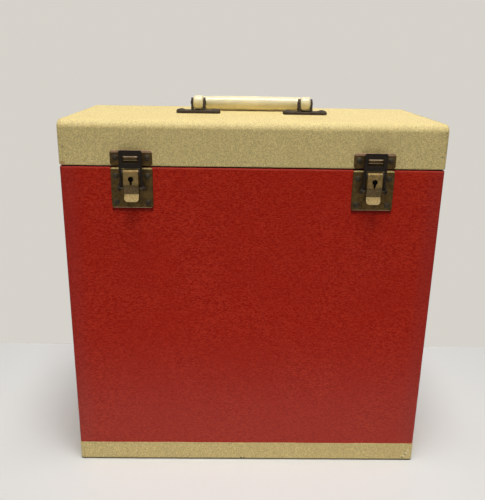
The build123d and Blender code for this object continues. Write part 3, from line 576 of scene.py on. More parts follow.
def make_finishes(scene):
    """One material for each of the case's finishes."""
    colours, cloths = scene.case_colours, scene.case_cloths
    finishes["red_cloth"] = red_cloth_finish(colours, cloths)
    finishes["cream_cloth"] = cream_cloth_finish(colours, cloths)
    finishes["wood_board"] = wood_finish(colours)
    finishes["lining_paper"] = paper_finish("lining_paper", tuple(colours.paper), (0.36, 0.26, 0.15), 22.0)
    finishes["base_board"] = paper_finish("base_board", tuple(colours.base), (0.16, 0.13, 0.10), 9.0)
    finishes["grip_plastic"] = plastic_finish(colours)
    for name, (setting, look) in METALS.items():
        finishes[name] = metal_finish(name, tuple(getattr(colours, setting)), **look)


def finish_for(node):
    """The finish of one of the frame's nodes."""
    for ending, name in NODE_FINISHES.items():
        if node.endswith(ending):
            return finishes[name]
    raise ValueError(f"no finish is named for {node}")


class CASE_OT_finishes(bpy.types.Operator):
    """Make the case's materials and put them on the parts that keep their own shape"""

    bl_idname = "case.finishes"
    bl_label = "Finishes"

    def execute(self, context):
        make_finishes(context.scene)
        for name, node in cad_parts.items():
            node.data.materials.clear()
            node.data.materials.append(finish_for(name))
        return {"FINISHED"}


# ---- shaping --------------------------------------------------------------------------------------
SLACK = 1e-3        # how near a place counts as the same
SMALL_ROUND = 0.3


def block(bm, low, high):
    """A box between two corners."""
    low, high = Vector(low), Vector(high)
    place = Matrix.Translation((low + high) / 2) @ Matrix.Diagonal((*(high - low), 1.0))
    return bmesh.ops.create_cube(bm, size=1.0, matrix=place)["verts"]


def rod(bm, start, end, radius, segments):
    """A closed round bar from one point to another."""
    start, end = Vector(start), Vector(end)
    turn = (end - start).to_track_quat("Z", "Y").to_matrix().to_4x4()
    return bmesh.ops.create_cone(
        bm, cap_ends=True, segments=segments, radius1=radius, radius2=radius,
        depth=(end - start).length, matrix=Matrix.Translation((start + end) / 2) @ turn)["verts"]


def rod_across(bm, middle, half, radius, segments=24):
    """A closed round bar that reaches half to either side of its middle."""
    middle, reach = Vector(middle), Vector((half, 0, 0))
    return rod(bm, middle - reach, middle + reach, radius, segments)


def edges_where(bm, test):
    return [edge for edge in bm.edges if test(edge)]


def sharp_edges(bm, angle=60.0, test=None):
    return edges_where(bm, lambda edge: edge.calc_face_angle(0.0) > math.radians(angle)
                       and (test is None or test(edge)))


def runs_along(edge, axis):
    run = edge.verts[1].co - edge.verts[0].co
    return run.length > 0 and abs(run[axis]) / run.length > 0.999


def both_at(edge, axis, value):
    return all(abs(vert.co[axis] - value) < SLACK for vert in edge.verts)


def round_off(bm, geometry, radius, segments, affect="EDGES"):
    """Round edges off, or with affect VERTICES the corners of a flat shape."""
    bmesh.ops.bevel(bm, geom=geometry, offset=radius, offset_type="OFFSET", segments=segments,
                    profile=0.5, affect=affect, clamp_overlap=True, material=-1)


def round_uprights(bm, radius, segments):
    """Round a box's upright edges off."""
    round_off(bm, edges_where(bm, lambda edge: runs_along(edge, 2)), radius, segments)


def slice_at(bm, place, across):
    """Divide the faces where a plane passes, and keep both sides of it."""
    bmesh.ops.bisect_plane(
        bm, geom=bm.verts[:] + bm.edges[:] + bm.faces[:], plane_co=place, plane_no=across)


def facing(bm, sign):
    """Faces that look straight up, or with sign -1 straight down."""
    bm.normal_update()
    return [face for face in bm.faces if face.normal.z * sign > 0.99]


def new_points(geometry):
    return [item for item in geometry if isinstance(item, bmesh.types.BMVert)]


def join_into(bm, other):
    """Add another bmesh's shape to this one."""
    scrap = bpy.data.meshes.new("scrap")
    other.to_mesh(scrap)
    other.free()
    bm.from_mesh(scrap)
    bpy.data.meshes.remove(scrap)


def lathe(bm, outline, centre, axis, steps):
    """A closed outline of (radius, height) points turned about an axis through centre."""
    centre, axis = Vector(centre), Vector(axis).normalized()
    side = axis.orthogonal().normalized()
    chain = [bm.verts.new(centre + side * radius + axis * height) for radius, height in outline]
    edges = [bm.edges.new(pair) for pair in zip(chain, chain[1:])]
    bmesh.ops.spin(bm, geom=chain + edges, cent=centre, axis=axis, dvec=(0, 0, 0),
                   angle=math.tau, steps=steps, use_merge=True, use_duplicate=False)


HEAD_SEAT = 0.3     # how far a rivet's head is set into what it stands on
HEAD_FOOT = 0.97    # how much of a head's radius its foot has


def domed_head(bm, base, out, head_radius, height, steps=24, rings=6, shank=0.0, shank_radius=1.5):
    """A rivet's or pin's low dome standing on a surface at base, with a shank that reaches behind it."""
    ball = (head_radius**2 + height**2) / (2 * height)
    half = math.asin(head_radius / ball)
    if shank:
        outline = [(0.0, -shank), (shank_radius, -shank), (shank_radius, -HEAD_SEAT)]
    else:
        outline = [(0.0, -HEAD_SEAT)]
    outline += [(head_radius * HEAD_FOOT, -HEAD_SEAT), (head_radius, 0.0)]
    for step in range(1, rings):
        lean = half * (1 - step / rings)
        outline.append((ball * math.sin(lean), height - ball * (1 - math.cos(lean))))
    lathe(bm, outline + [(0.0, height)], base, out, steps)


PRESSED_STEPS = (1.0, 0.85)     # where a plate's top border bends, as shares of its width
PRESSED_DEPTH = 0.75            # how much of its sheet's height the border loses


def flat_plate(bm, width, low, high, sheet, corner, rim, slope=0.0):
    """A sheet plate on a surface, its corners rounded, its rim rolled over, its top border pressed back."""
    made = bmesh.ops.create_grid(
        bm, x_segments=1, y_segments=1, size=0.5,
        matrix=Matrix.Translation((0, (low + high) / 2, 0)) @ Matrix.Diagonal((width, high - low, 1, 1)))
    if corner:
        round_off(bm, made["verts"], corner, 6, "VERTICES")
    raised = bmesh.ops.extrude_face_region(bm, geom=bm.faces[:])["geom"]
    bmesh.ops.translate(bm, vec=(0, 0, sheet), verts=new_points(raised))
    round_off(bm, edges_where(bm, lambda edge: both_at(edge, 2, sheet)), rim, 4)
    if slope:
        for share in PRESSED_STEPS:
            slice_at(bm, (0, high - slope * share, 0), (0, 1, 0))
        for vert in bm.verts:
            sunk = max(0.0, (vert.co.y - high + slope) / slope)
            vert.co.z *= 1.0 - PRESSED_DEPTH * min(1.0, sunk)


def combine(target, operation, *others):
    """Join other finished shapes to an object's mesh, or take them out of it."""
    for other in others:
        tool = target.modifiers.new(operation.lower(), "BOOLEAN")
        tool.operation = operation
        tool.solver = "EXACT"
        tool.object = other
    apply_modifiers(target)
    for other in others:
        bpy.data.objects.remove(other)


def cut(target, *cutters):
    combine(target, "DIFFERENCE", *cutters)


def apply_modifiers(target):
    """Replace a mesh by what its modifiers make of it."""
    shaped = bpy.data.meshes.new_from_object(
        target.evaluated_get(bpy.context.evaluated_depsgraph_get()))
    target.modifiers.clear()
    old, target.data = target.data, shaped
    bpy.data.meshes.remove(old)


def to_object(bm, name, place=None):
    """A bmesh in millimetres made an object in metres, its place in its mesh."""
    bmesh.ops.remove_doubles(bm, verts=bm.verts, dist=1e-4)
    bmesh.ops.recalc_face_normals(bm, faces=bm.faces)
    bmesh.ops.transform(bm, matrix=Matrix.Scale(MM, 4) @ (place or Matrix.Identity(4)), verts=bm.verts)
    mesh = bpy.data.meshes.new(name)
    bm.to_mesh(mesh)
    bm.free()
    made = bpy.data.objects.new(name, mesh)
    bpy.context.scene.collection.objects.link(made)
    return made


def finished(made, finish, body, stands_for=(), edge=0.0, sharp=32.0):
    """Give a piece its finish, its smooth shading and its place in the frame."""
    made.data.materials.clear()
    made.data.materials.append(finishes[finish])
    made.data.shade_smooth()
    if edge:
        softened = made.modifiers.new("edges", "BEVEL")
        softened.width = edge * MM
        softened.segments = 2
        softened.limit_method = "ANGLE"
        softened.angle_limit = math.radians(40)
        softened.harden_normals = False
    made.data.set_sharp_from_angle(angle=math.radians(sharp))
    weighted = made.modifiers.new("shading", "WEIGHTED_NORMAL")
    weighted.keep_sharp = True
    weighted.weight = 80
    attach(made, body)
    if stands_for:
        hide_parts(*stands_for)
    return made


# ---- covering cloths ------------------------------------------------------------------------------
CLOTH = 0.8
CORNER, CORNER_STEPS = 2.5, 7
RIM_FLANGE = 6.8
BAND_PROUD = 0.25
BAND_TURN_IN = 18.0
BAND_FOOT_ROUND = 2.0
BAND_CUTS = 48
BAND_WAVE = 0.14
LONG_WAVE, SHORT_WAVE = 17.0, 6.3
LID_ROUND = 7.2
LID_FLANGE = 5.4
LAP_STEP = 0.22
LAP_STEP_LENGTH = 0.12


def thicken(bm, thickness):
    """Give an open shell, whose faces point outwards, its thickness on the inside."""
    bmesh.ops.recalc_face_normals(bm, faces=bm.faces)
    bmesh.ops.solidify(bm, geom=bm.faces[:], thickness=thickness)


def turned_in(bm, sign, width):
    """Open a box's top or bottom, leaving the cloth that is turned in over the rim."""
    mouth = facing(bm, sign)
    bmesh.ops.inset_region(bm, faces=mouth, thickness=width, use_even_offset=True)
    bmesh.ops.delete(bm, geom=mouth, context="FACES")


def rim_of(bm, level):
    """The outer edges at a level, where a wall meets what is turned in."""
    bm.normal_update()
    return edges_where(bm, lambda edge: both_at(edge, 2, level) and any(
        abs(face.normal.z) < 0.5 for face in edge.link_faces))


class CASE_OT_body_cloth(bpy.types.Operator):
    """Stretch the red cloth round the body and over its rim"""

    bl_idname = "case.body_cloth"
    bl_label = "Body cloth"

    def execute(self, context):
        bm = bmesh.new()
        block(bm, body_low, body_high)
        turned_in(bm, 1, RIM_FLANGE)
        bmesh.ops.delete(bm, geom=facing(bm, -1), context="FACES")
        round_uprights(bm, CORNER, CORNER_STEPS)
        round_off(bm, rim_of(bm, body_high.z), context.scene.case_cloths.rim_round / MM, 4)
        thicken(bm, CLOTH)
        made = to_object(bm, "red_cloth_on_body")
        finished(made, "red_cloth", "case", ["body_cloth"])
        return {"FINISHED"}


class CASE_OT_base_band(bpy.types.Operator):
    """Wrap the cream band round the foot of the case and turn it in underneath"""

    bl_idname = "case.base_band"
    bl_label = "Foot band"

    def execute(self, context):
        low, high = in_mm("base_band")
        proud = Vector((BAND_PROUD, BAND_PROUD, 0.0))
        bm = bmesh.new()
        block(bm, low - proud, high + proud)
        bmesh.ops.delete(bm, geom=facing(bm, 1), context="FACES")
        turned_in(bm, -1, BAND_TURN_IN)
        round_uprights(bm, CORNER, CORNER_STEPS)
        round_off(bm, rim_of(bm, low.z), BAND_FOOT_ROUND, 5)
        for step in range(1, BAND_CUTS):
            slice_at(bm, (low.x + (high.x - low.x) * step / BAND_CUTS, 0, 0), (1, 0, 0))
        for vert in bm.verts:
            if abs(vert.co.z - high.z) < SLACK:
                waves = math.sin(vert.co.x / LONG_WAVE) + 0.6 * math.sin(vert.co.x / SHORT_WAVE + 1.0)
                vert.co.z += BAND_WAVE * waves
        thicken(bm, CLOTH)
        made = to_object(bm, "cream_band_round_foot")
        finished(made, "cream_cloth", "case", ["base_band"])
        return {"FINISHED"}


class CASE_OT_lid_cloth(bpy.types.Operator):
    """Stretch the cream cloth over the lid, with the end cloth lapped round its corners"""

    bl_idname = "case.lid_cloth"
    bl_label = "Lid cloth"

    def execute(self, context):
        sizes = context.scene.case_cloths
        bm = bmesh.new()
        block(bm, lid_low, lid_high)
        turned_in(bm, -1, LID_FLANGE)
        long_edges = edges_where(bm, lambda edge: runs_along(edge, 0) and both_at(edge, 2, lid_high.z))
        round_off(bm, long_edges, LID_ROUND, 16)
        ends = edges_where(bm, lambda edge: not both_at(edge, 2, lid_low.z) and (
            both_at(edge, 0, lid_low.x) or both_at(edge, 0, lid_high.x)))
        round_off(bm, ends, CORNER, CORNER_STEPS)
        round_off(bm, rim_of(bm, lid_low.z), sizes.rim_round / MM, 4)
        lap = lid_high.x - sizes.end_lap / MM
        for sign in (-1, 1):
            for at in (lap, lap - LAP_STEP_LENGTH):
                slice_at(bm, (sign * at, 0, 0), (1, 0, 0))
        bm.normal_update()
        for vert in [vert for vert in bm.verts if abs(vert.co.x) > lap - SLACK]:
            vert.co += vert.normal * LAP_STEP
        thicken(bm, CLOTH)
        made = to_object(bm, "cream_cloth_on_lid")
        finished(made, "cream_cloth", "lid", ["lid_cloth"], sharp=25.0)
        return {"FINISHED"}


# ---- carrying handle ------------------------------------------------------------------------------
HANDLE_SPACING = 108.0
GRIP_REACH = 32.0
PIVOT_HEIGHT = 10.3
GRIP_RADIUS = 7.5
GRIP_END_RADIUS = 6.8
GRIP_HALF = 52.4
GRIP_ABOVE_LID = 0.3
GRIP_TILT = math.asin((PIVOT_HEIGHT - GRIP_ABOVE_LID - GRIP_RADIUS) / GRIP_REACH)
ARM_HALF_THICKNESS = 6.0
EYE_HALF, EYE_RADIUS, EYE_ROUND = 5.0, 7.1, 1.9
MOULD_VOXEL = 0.55
MOULD_SMOOTHINGS = 14
END_STEPS, BARREL_STEPS = 8, 14
PLATE_LENGTH, PLATE_HALF, PLATE_SHEET = 44.5, 7.5, 3.0
PLATE_CORNER, PLATE_RIM = 5.0, 1.2
BOSS_TOP = 3.5
BOSS_OUTLINE = ((0, 1.5), (5.2, 1.5), (5.1, 2.6), (4.8, 3.2), (4.2, BOSS_TOP), (0, BOSS_TOP))
EAR_MIDDLE, EAR_SHEET, EAR_RADIUS, EAR_ROUND = 6.2, 1.8, 4.9, 0.5
EAR_FOOT_HALF, EAR_FOOT_BOTTOM = 6.5, 2.2
STUD_HALF_PITCH, STUD_RADIUS, STUD_HEIGHT = 17.0, 3.6, 1.0
STUD_SHANK, STUD_SHANK_RADIUS = 7.7, 2.0
HINGE_PIN_RADIUS, HINGE_PIN_HEAD, HINGE_PIN_DOME = 2.0, 3.0, 0.8


def barrel_outline():
    """The grip's barrel as (radius, place along it): round ends and a swelling between them."""
    end = []
    for step in range(END_STEPS + 1):
        turn = math.radians(90) * step / END_STEPS
        end.append((GRIP_END_RADIUS * math.sin(turn), -GRIP_HALF - GRIP_END_RADIUS * math.cos(turn)))
    swelling = []
    for step in range(1, BARREL_STEPS):
        along = -1 + step / (BARREL_STEPS / 2)
        swell = GRIP_END_RADIUS + (GRIP_RADIUS - GRIP_END_RADIUS) * (1 - along * along)
        swelling.append((swell, along * GRIP_HALF))
    return end + swelling + [(radius, -place) for radius, place in reversed(end)]


def mould(made):
    """Melt an object's crossing shapes into one moulded skin."""
    melted = made.modifiers.new("moulded", "REMESH")
    melted.mode = "VOXEL"
    melted.voxel_size = MOULD_VOXEL * MM
    apply_modifiers(made)
    blended = made.modifiers.new("blended", "SMOOTH")
    blended.factor = 0.5
    blended.iterations = MOULD_SMOOTHINGS
    apply_modifiers(made)


class CASE_OT_grip(bpy.types.Operator):
    """Mould the carrying grip: a swelling barrel with round ends on two arms with eyes"""

    bl_idname = "case.grip"
    bl_label = "Grip"

    def execute(self, context):
        bm = bmesh.new()
        lathe(bm, barrel_outline(), (0, GRIP_REACH, 0), (1, 0, 0), 40)
        for column in (-HANDLE_SPACING / 2, HANDLE_SPACING / 2):
            arm = bmesh.new()
            rod(arm, (0, 0, 0), (0, GRIP_REACH, 0), 1.0, 40)
            oval = Matrix.Diagonal((EYE_HALF, 1.0, ARM_HALF_THICKNESS, 1.0))
            bmesh.ops.transform(arm, matrix=Matrix.Translation((column, 0, 0)) @ oval, verts=arm.verts)
            join_into(bm, arm)
            eye = bmesh.new()
            rod_across(eye, (column, 0, 0), EYE_HALF, EYE_RADIUS, 48)
            round_off(eye, sharp_edges(eye), EYE_ROUND, 5)
            join_into(bm, eye)
        place = Matrix.Translation((0, 0, lid_top + PIVOT_HEIGHT)) @ Matrix.Rotation(-GRIP_TILT, 4, "X")
        made = to_object(bm, "moulded_grip", place)
        mould(made)
        finished(made, "grip_plastic", "grip", ["handle_grip"], sharp=180.0)
        return {"FINISHED"}


def handle_ear(dx):
    """An ear of a handle plate: round about the pin, and widened to its foot."""
    ear = bmesh.new()
    inner, outer = dx - EAR_SHEET / 2, dx + EAR_SHEET / 2
    rod(ear, (inner, 0, PIVOT_HEIGHT), (outer, 0, PIVOT_HEIGHT), EAR_RADIUS, 32)
    block(ear, (inner, -EAR_FOOT_HALF, EAR_FOOT_BOTTOM), (outer, EAR_FOOT_HALF, PLATE_SHEET))
    hull = bmesh.ops.convex_hull(ear, input=ear.verts[:], use_existing_faces=False)
    bmesh.ops.delete(ear, geom=new_points(hull["geom_interior"]), context="VERTS")
    bmesh.ops.dissolve_limit(ear, angle_limit=math.radians(1.5), verts=ear.verts[:], edges=ear.edges[:])
    rims = sharp_edges(ear, 68.0, lambda edge: not runs_along(edge, 0))
    round_off(ear, rims, EAR_ROUND, 3)
    return ear


class CASE_OT_handle_plates(bpy.types.Operator):
    """Make the handle's riveted plates with their ears, pins and rivets"""

    bl_idname = "case.handle_plates"
    bl_label = "Handle plates"

    def execute(self, context):
        studs, pins = bmesh.new(), bmesh.new()
        for side, sign in zip(SIDES, (-1, 1)):
            column = sign * HANDLE_SPACING / 2
            bm = bmesh.new()
            flat_plate(bm, PLATE_LENGTH, -PLATE_HALF, PLATE_HALF, PLATE_SHEET, PLATE_CORNER, PLATE_RIM)
            for dx in (-STUD_HALF_PITCH, STUD_HALF_PITCH):
                lathe(bm, BOSS_OUTLINE, (dx, 0, 0), (0, 0, 1), 32)
                domed_head(studs, (column + dx, 0, lid_top + BOSS_TOP), (0, 0, 1), STUD_RADIUS,
                           STUD_HEIGHT, shank=BOSS_TOP + STUD_SHANK, shank_radius=STUD_SHANK_RADIUS)
            for dx in (-EAR_MIDDLE, EAR_MIDDLE):
                join_into(bm, handle_ear(dx))
            made = to_object(bm, f"handle_{side}_plate_and_ears", on_lid(column))
            finished(made, "handle_steel", "lid", [f"handle_{side}_plate"])
            middle, half = Vector((column, 0, lid_top + PIVOT_HEIGHT)), EAR_MIDDLE + EAR_SHEET / 2
            rod_across(pins, middle, half, HINGE_PIN_RADIUS)
            for out in (-1, 1):
                domed_head(pins, middle + Vector((out * half, 0, 0)), (out, 0, 0), HINGE_PIN_HEAD,
                           HINGE_PIN_DOME)
        made = to_object(studs, "handle_rivets_and_shanks")
        finished(made, "handle_steel", "lid", ["handle_rivets"])
        made = to_object(pins, "handle_hinge_pins")
        finished(made, "handle_steel", "lid", ["handle_pins"])
        return {"FINISHED"}


# ---- draw latches ---------------------------------------------------------------------------------
# Local axes of a latch: x across, y up from the seam, z outwards from the case. Points with two
# numbers are (up, out).
LATCH_WIDTH, LATCH_CORNER, LATCH_RIM = 38.0, 2.4, 0.6
BASE_TOP, BASE_BOTTOM, BASE_SHEET, BASE_SLOPE = -0.8, -38.1, 1.0, 1.6
CATCH_BOTTOM, CATCH_TOP, CATCH_SHEET, CATCH_SLOPE = 0.7, 14.7, 1.2, 2.4
RIVET_HALF = 14.25
RIVET_HEAD, RIVET_HEIGHT, SHANK = 2.9, 1.2, 6.4
CATCH_RIVETS = (8.1,)
BASE_RIVETS = (-8.5, -33.0)
HOOK_ROOT = Vector((0.0, 3.6, 0.6))
HOOK_TIP = Vector((0.0, 9.5, 4.1))
HOOK_HALF = 6.5
HOOK_BORDER, HOOK_DISH, HOOK_ROUND = 1.1, 0.7, 0.25
WINDOW_BOTTOM, WINDOW_TOP, WINDOW_PLAY = 4.6, 10.5, 0.1
WINDOW_BACK, WINDOW_FRONT = -1.0, 3.0
LIP_RADIUS, LIP_INSET, LIP_BACK, LIP_FRONT = 0.85, 0.6, 1.0, 0.1
LIP_STEP = Vector((0.0, 3.0, 0.5))
LEVER_PIVOT = Vector((0.0, -5.0, 4.2))
LEVER_ROLL, LEVER_ROLL_STEPS = 3.0, 16
LEVER_HALF, LEVER_FACE, LEVER_SHEET = 6.75, 7.2, 1.0
LEVER_BEND, LEVER_BEND_ROUND, LEVER_FOLD_ROUND = -15.5, 0.8, 0.9
WALL_END, WALL_FOOT, WALL_BACK, WALL_CORNER = -23.2, 2.6, 1.6, 1.0
HOLLOW_BEYOND = 2.0
FACE_AT_WALL_END, INSIDE_AT_WALL_END = 5.05, 3.5
TAB_PATH = (Vector((-22.4, 5.27)), Vector((-24.6, 4.7)), Vector((-31.0, 7.6)))
TAB_INSET, TAB_TIP, TAB_CORNER = 0.3, 1.2, 3.0
TAB_BEND_REACH, TAB_BEND_ROUND = 1.5, 0.7
KEYHOLE = Vector((0.0, -10.5, 0.0))
KEYHOLE_RADIUS, KEYHOLE_LENGTH, KEYSLOT_HALF = 2.5, 5.6, 1.1
KEYHOLE_BACK, KEYHOLE_FRONT = Vector((0, 0, 4)), Vector((0, 0, 9))
LINK_PIVOT = Vector((0.0, -19.5, 3.9))
LINK_LEAN = math.radians(3.05)
LEG_INNER, LEG_OUTER, LEG_FLARE = 8.35, 10.45, 1.2
WINDOW_HALF = 7.05
LINK_LENGTH, LINK_SHEET = 34.9, 1.2
CROSSBAR_BOTTOM, CROSSBAR_TOP, LINK_WINDOW_TOP = 18.7, 23.2, 29.7
LINK_ROWS = (2.0, 3.2, 7.0, CROSSBAR_BOTTOM, CROSSBAR_TOP, LINK_WINDOW_TOP, LINK_LENGTH)
LINK_COLUMNS = (-LEG_OUTER, -LEG_INNER, -WINDOW_HALF, WINDOW_HALF, LEG_INNER, LEG_OUTER)
LINK_CORNER, LINK_WINDOW_CORNER, LINK_ROUND = 2.0, 0.8, 0.35
LINK_EAR_RADIUS, LINK_EAR_PLAY = 2.6, 0.3
LINK_PIN_INNER, LINK_PIN_RADIUS, LINK_PIN_HEAD, LINK_PIN_DOME = 5.8, 1.0, 1.9, 1.0


def prism(outline, half):
    """A side view's (up, out) outline made solid, half to either side."""
    bm = bmesh.new()
    face = bm.faces.new([bm.verts.new((-half, up, out)) for up, out in outline])
    raised = bmesh.ops.extrude_face_region(bm, geom=[face], use_keep_orig=True)["geom"]
    bmesh.ops.translate(bm, vec=(2 * half, 0, 0), verts=new_points(raised))
    bmesh.ops.recalc_face_normals(bm, faces=bm.faces)
    return bm


def catch_plate(x, side):
    """The plate on the lid, with a window behind its hook."""
    bm = bmesh.new()
    flat_plate(bm, LATCH_WIDTH, CATCH_BOTTOM, CATCH_TOP, CATCH_SHEET, LATCH_CORNER, LATCH_RIM, CATCH_SLOPE)
    made = to_object(bm, f"latch_{side}_catch", on_front(x))
    window = bmesh.new()
    half = HOOK_HALF + WINDOW_PLAY
    block(window, (-half, WINDOW_BOTTOM, WINDOW_BACK), (half, WINDOW_TOP, WINDOW_FRONT))
    cut(made, to_object(window, "window", on_front(x)))
    return made


def catch_hook(x, side):
    """The hook bent out of the catch plate's window: a dished tongue with two rolled lips at its tip."""
    rise = (HOOK_TIP - HOOK_ROOT).normalized()
    thick = Vector((0.0, -rise.z, rise.y)) / 2
    corners = [HOOK_ROOT + thick, HOOK_TIP + thick, HOOK_TIP - thick, HOOK_ROOT - thick]
    hook = prism([(corner.y, corner.z) for corner in corners], HOOK_HALF)
    front = max(hook.faces, key=lambda face: face.normal.dot(thick))
    bmesh.ops.inset_region(hook, faces=[front], thickness=HOOK_BORDER)
    bmesh.ops.translate(hook, vec=-HOOK_DISH * thick, verts=front.verts[:])
    round_off(hook, sharp_edges(hook), HOOK_ROUND, 3)
    lip = bmesh.new()
    for middle in (HOOK_TIP, HOOK_TIP - LIP_STEP):
        rod_across(lip, middle, HOOK_HALF, LIP_RADIUS, 20)
    half = HOOK_HALF - LIP_INSET
    block(lip, HOOK_TIP - Vector((half, LIP_STEP.y, LIP_BACK)), HOOK_TIP + Vector((half, 0.0, LIP_FRONT)))
    round_off(lip, sharp_edges(lip), SMALL_ROUND, 3)
    join_into(hook, lip)
    return to_object(hook, f"latch_{side}_hook", on_front(x))


def base_plate(x, side):
    """The plate on the body that carries the lever."""
    bm = bmesh.new()
    flat_plate(bm, LATCH_WIDTH, BASE_BOTTOM, BASE_TOP, BASE_SHEET, LATCH_CORNER, LATCH_RIM, BASE_SLOPE)
    return to_object(bm, f"latch_{side}_base", on_front(x))


def beside(path, distance):
    """A path moved sideways by a distance, its corners kept square to both their stretches."""
    ways = [(after - before).normalized() for before, after in zip(path, path[1:])]
    across = [Vector((-way.y, way.x)) for way in ways]
    moved = []
    for point, one, other in zip(path, across[:1] + across, across + across[-1:]):
        moved.append(point + (one + other) * distance / (1.0 + one.dot(other)))
    return moved


def lever_box(x, side):
    """The lever's box: its face rolled round the pin, its walls folded back, hollow behind."""
    pivot = Vector((LEVER_PIVOT.y, LEVER_PIVOT.z))
    face = []
    for step in range(LEVER_ROLL_STEPS + 1):
        turn = math.pi * (1 - step / LEVER_ROLL_STEPS)
        face.append(pivot + LEVER_ROLL * Vector((math.sin(turn), math.cos(turn))))
    face += [Vector((LEVER_BEND, LEVER_FACE)), Vector((WALL_END, FACE_AT_WALL_END))]
    walls = [(WALL_END, WALL_FOOT), (WALL_END + WALL_CORNER, WALL_BACK), (pivot.x, WALL_BACK)]
    bm = prism(face + walls, LEVER_HALF)
    folds = edges_where(bm, lambda edge: not runs_along(edge, 0) and any(
        abs(face.normal.x) < 0.1 and face.normal.y + face.normal.z > 0.3 for face in edge.link_faces))
    round_off(bm, folds, LEVER_FOLD_ROUND, 4)
    bend = edges_where(bm, lambda edge: runs_along(edge, 0) and both_at(edge, 1, LEVER_BEND))
    round_off(bm, bend, LEVER_BEND_ROUND, 3)
    made = to_object(bm, f"latch_{side}_lever_sheet", on_front(x))
    low = WALL_END - HOLLOW_BEYOND
    inside = [(low, INSIDE_AT_WALL_END), (low, -HOLLOW_BEYOND), (pivot.x, -HOLLOW_BEYOND)]
    hollow = prism(beside(face, LEVER_SHEET) + inside, LEVER_HALF - LEVER_SHEET)
    cut(made, to_object(hollow, "hollow", on_front(x)))
    return made


def finger_tab(x):
    """The lever's tab: a flared tongue with round corners."""
    outline = list(TAB_PATH) + beside(TAB_PATH, LEVER_SHEET)[::-1]
    tab = prism(outline, LEVER_HALF - TAB_INSET)
    tips = edges_where(tab, lambda edge: not runs_along(edge, 0) and all(
        vert.co.y < TAB_PATH[-1].x + TAB_TIP for vert in edge.verts))
    round_off(tab, tips, TAB_CORNER, 7)
    bend = edges_where(tab, lambda edge: runs_along(edge, 0) and abs(
        edge.verts[0].co.y - TAB_PATH[1].x) < TAB_BEND_REACH)
    round_off(tab, bend, TAB_BEND_ROUND, 3)
    return to_object(tab, "tab", on_front(x))


def keyhole(x):
    """The solids to take out of the lever's face: a round hole with a slot below it."""
    foot = KEYHOLE - Vector((0, KEYHOLE_LENGTH - KEYSLOT_HALF, 0))
    hole, slot_end, slot = bmesh.new(), bmesh.new(), bmesh.new()
    rod(hole, KEYHOLE + KEYHOLE_BACK, KEYHOLE + KEYHOLE_FRONT, KEYHOLE_RADIUS, 32)
    rod(slot_end, foot + KEYHOLE_BACK, foot + KEYHOLE_FRONT, KEYSLOT_HALF, 24)
    half = Vector((KEYSLOT_HALF - 0.01, 0, 0))
    block(slot, foot - half + KEYHOLE_BACK, KEYHOLE + half + KEYHOLE_FRONT)
    return [to_object(tool, "keyhole", on_front(x)) for tool in (hole, slot_end, slot)]


def lever_shell(x, side):
    """The lever: one pressed sheet, waisted and flared into a tab, with a keyhole."""
    made = lever_box(x, side)
    combine(made, "UNION", finger_tab(x))
    cut(made, *keyhole(x))
    return made


def link_frame(x, side):
    """The link: a flat frame with a crossbar, its legs spread at the foot into round ears."""
    bm = bmesh.new()
    across, up = len(LINK_COLUMNS) - 1, len(LINK_ROWS) - 1
    bmesh.ops.create_grid(bm, x_segments=across, y_segments=up, size=0.5)
    for vert in bm.verts:
        column, row = round((vert.co.x + 0.5) * across), round((vert.co.y + 0.5) * up)
        spread = LEG_FLARE if row < 2 and column in (0, across) else 0.0
        vert.co = (LINK_COLUMNS[column] + math.copysign(spread, LINK_COLUMNS[column]), LINK_ROWS[row], 0.0)
    gaps = ((0.0, CROSSBAR_BOTTOM, LEG_INNER), (CROSSBAR_TOP, LINK_WINDOW_TOP, WINDOW_HALF))
    holes = [face for face in bm.faces if any(
        low < face.calc_center_median().y < high and abs(face.calc_center_median().x) < half
        for low, high, half in gaps)]
    bmesh.ops.delete(bm, geom=holes, context="FACES")
    raised = bmesh.ops.extrude_face_region(bm, geom=bm.faces[:], use_keep_orig=True)["geom"]
    bmesh.ops.translate(bm, vec=(0, 0, LINK_SHEET / 2), verts=new_points(raised))
    lower = [vert for vert in bm.verts if abs(vert.co.z) < SLACK]
    bmesh.ops.translate(bm, vec=(0, 0, -LINK_SHEET / 2), verts=lower)
    bmesh.ops.recalc_face_normals(bm, faces=bm.faces)
    uprights = edges_where(bm, lambda edge: runs_along(edge, 2)
                           and edge.verts[0].co.y > CROSSBAR_BOTTOM - SLACK)
    outer = [edge for edge in uprights if edge.verts[0].co.y > LINK_LENGTH - SLACK
             and abs(edge.verts[0].co.x) > LEG_OUTER - SLACK]
    inner = [edge for edge in uprights if edge.calc_face_angle(0.0) > 1.0 and edge not in outer]
    round_off(bm, outer, LINK_CORNER, 6)
    round_off(bm, [edge for edge in inner if edge.is_valid], LINK_WINDOW_CORNER, 3)
    borders = edges_where(bm, lambda edge: not runs_along(edge, 2) and edge.calc_face_angle(0.0) > 1.0)
    round_off(bm, borders, LINK_ROUND, 3)
    for sign in (-1, 1):
        ear = bmesh.new()
        outer_face = sign * (LEG_OUTER + LEG_FLARE)
        rod(ear, (outer_face - sign * LINK_SHEET, 0, 0), (outer_face, 0, 0), LINK_EAR_RADIUS, 32)
        round_off(ear, sharp_edges(ear), SMALL_ROUND, 3)
        join_into(bm, ear)
    place = on_front(x) @ Matrix.Translation(LINK_PIVOT) @ Matrix.Rotation(LINK_LEAN, 4, "X")
    return to_object(bm, f"latch_{side}_link_frame", place)


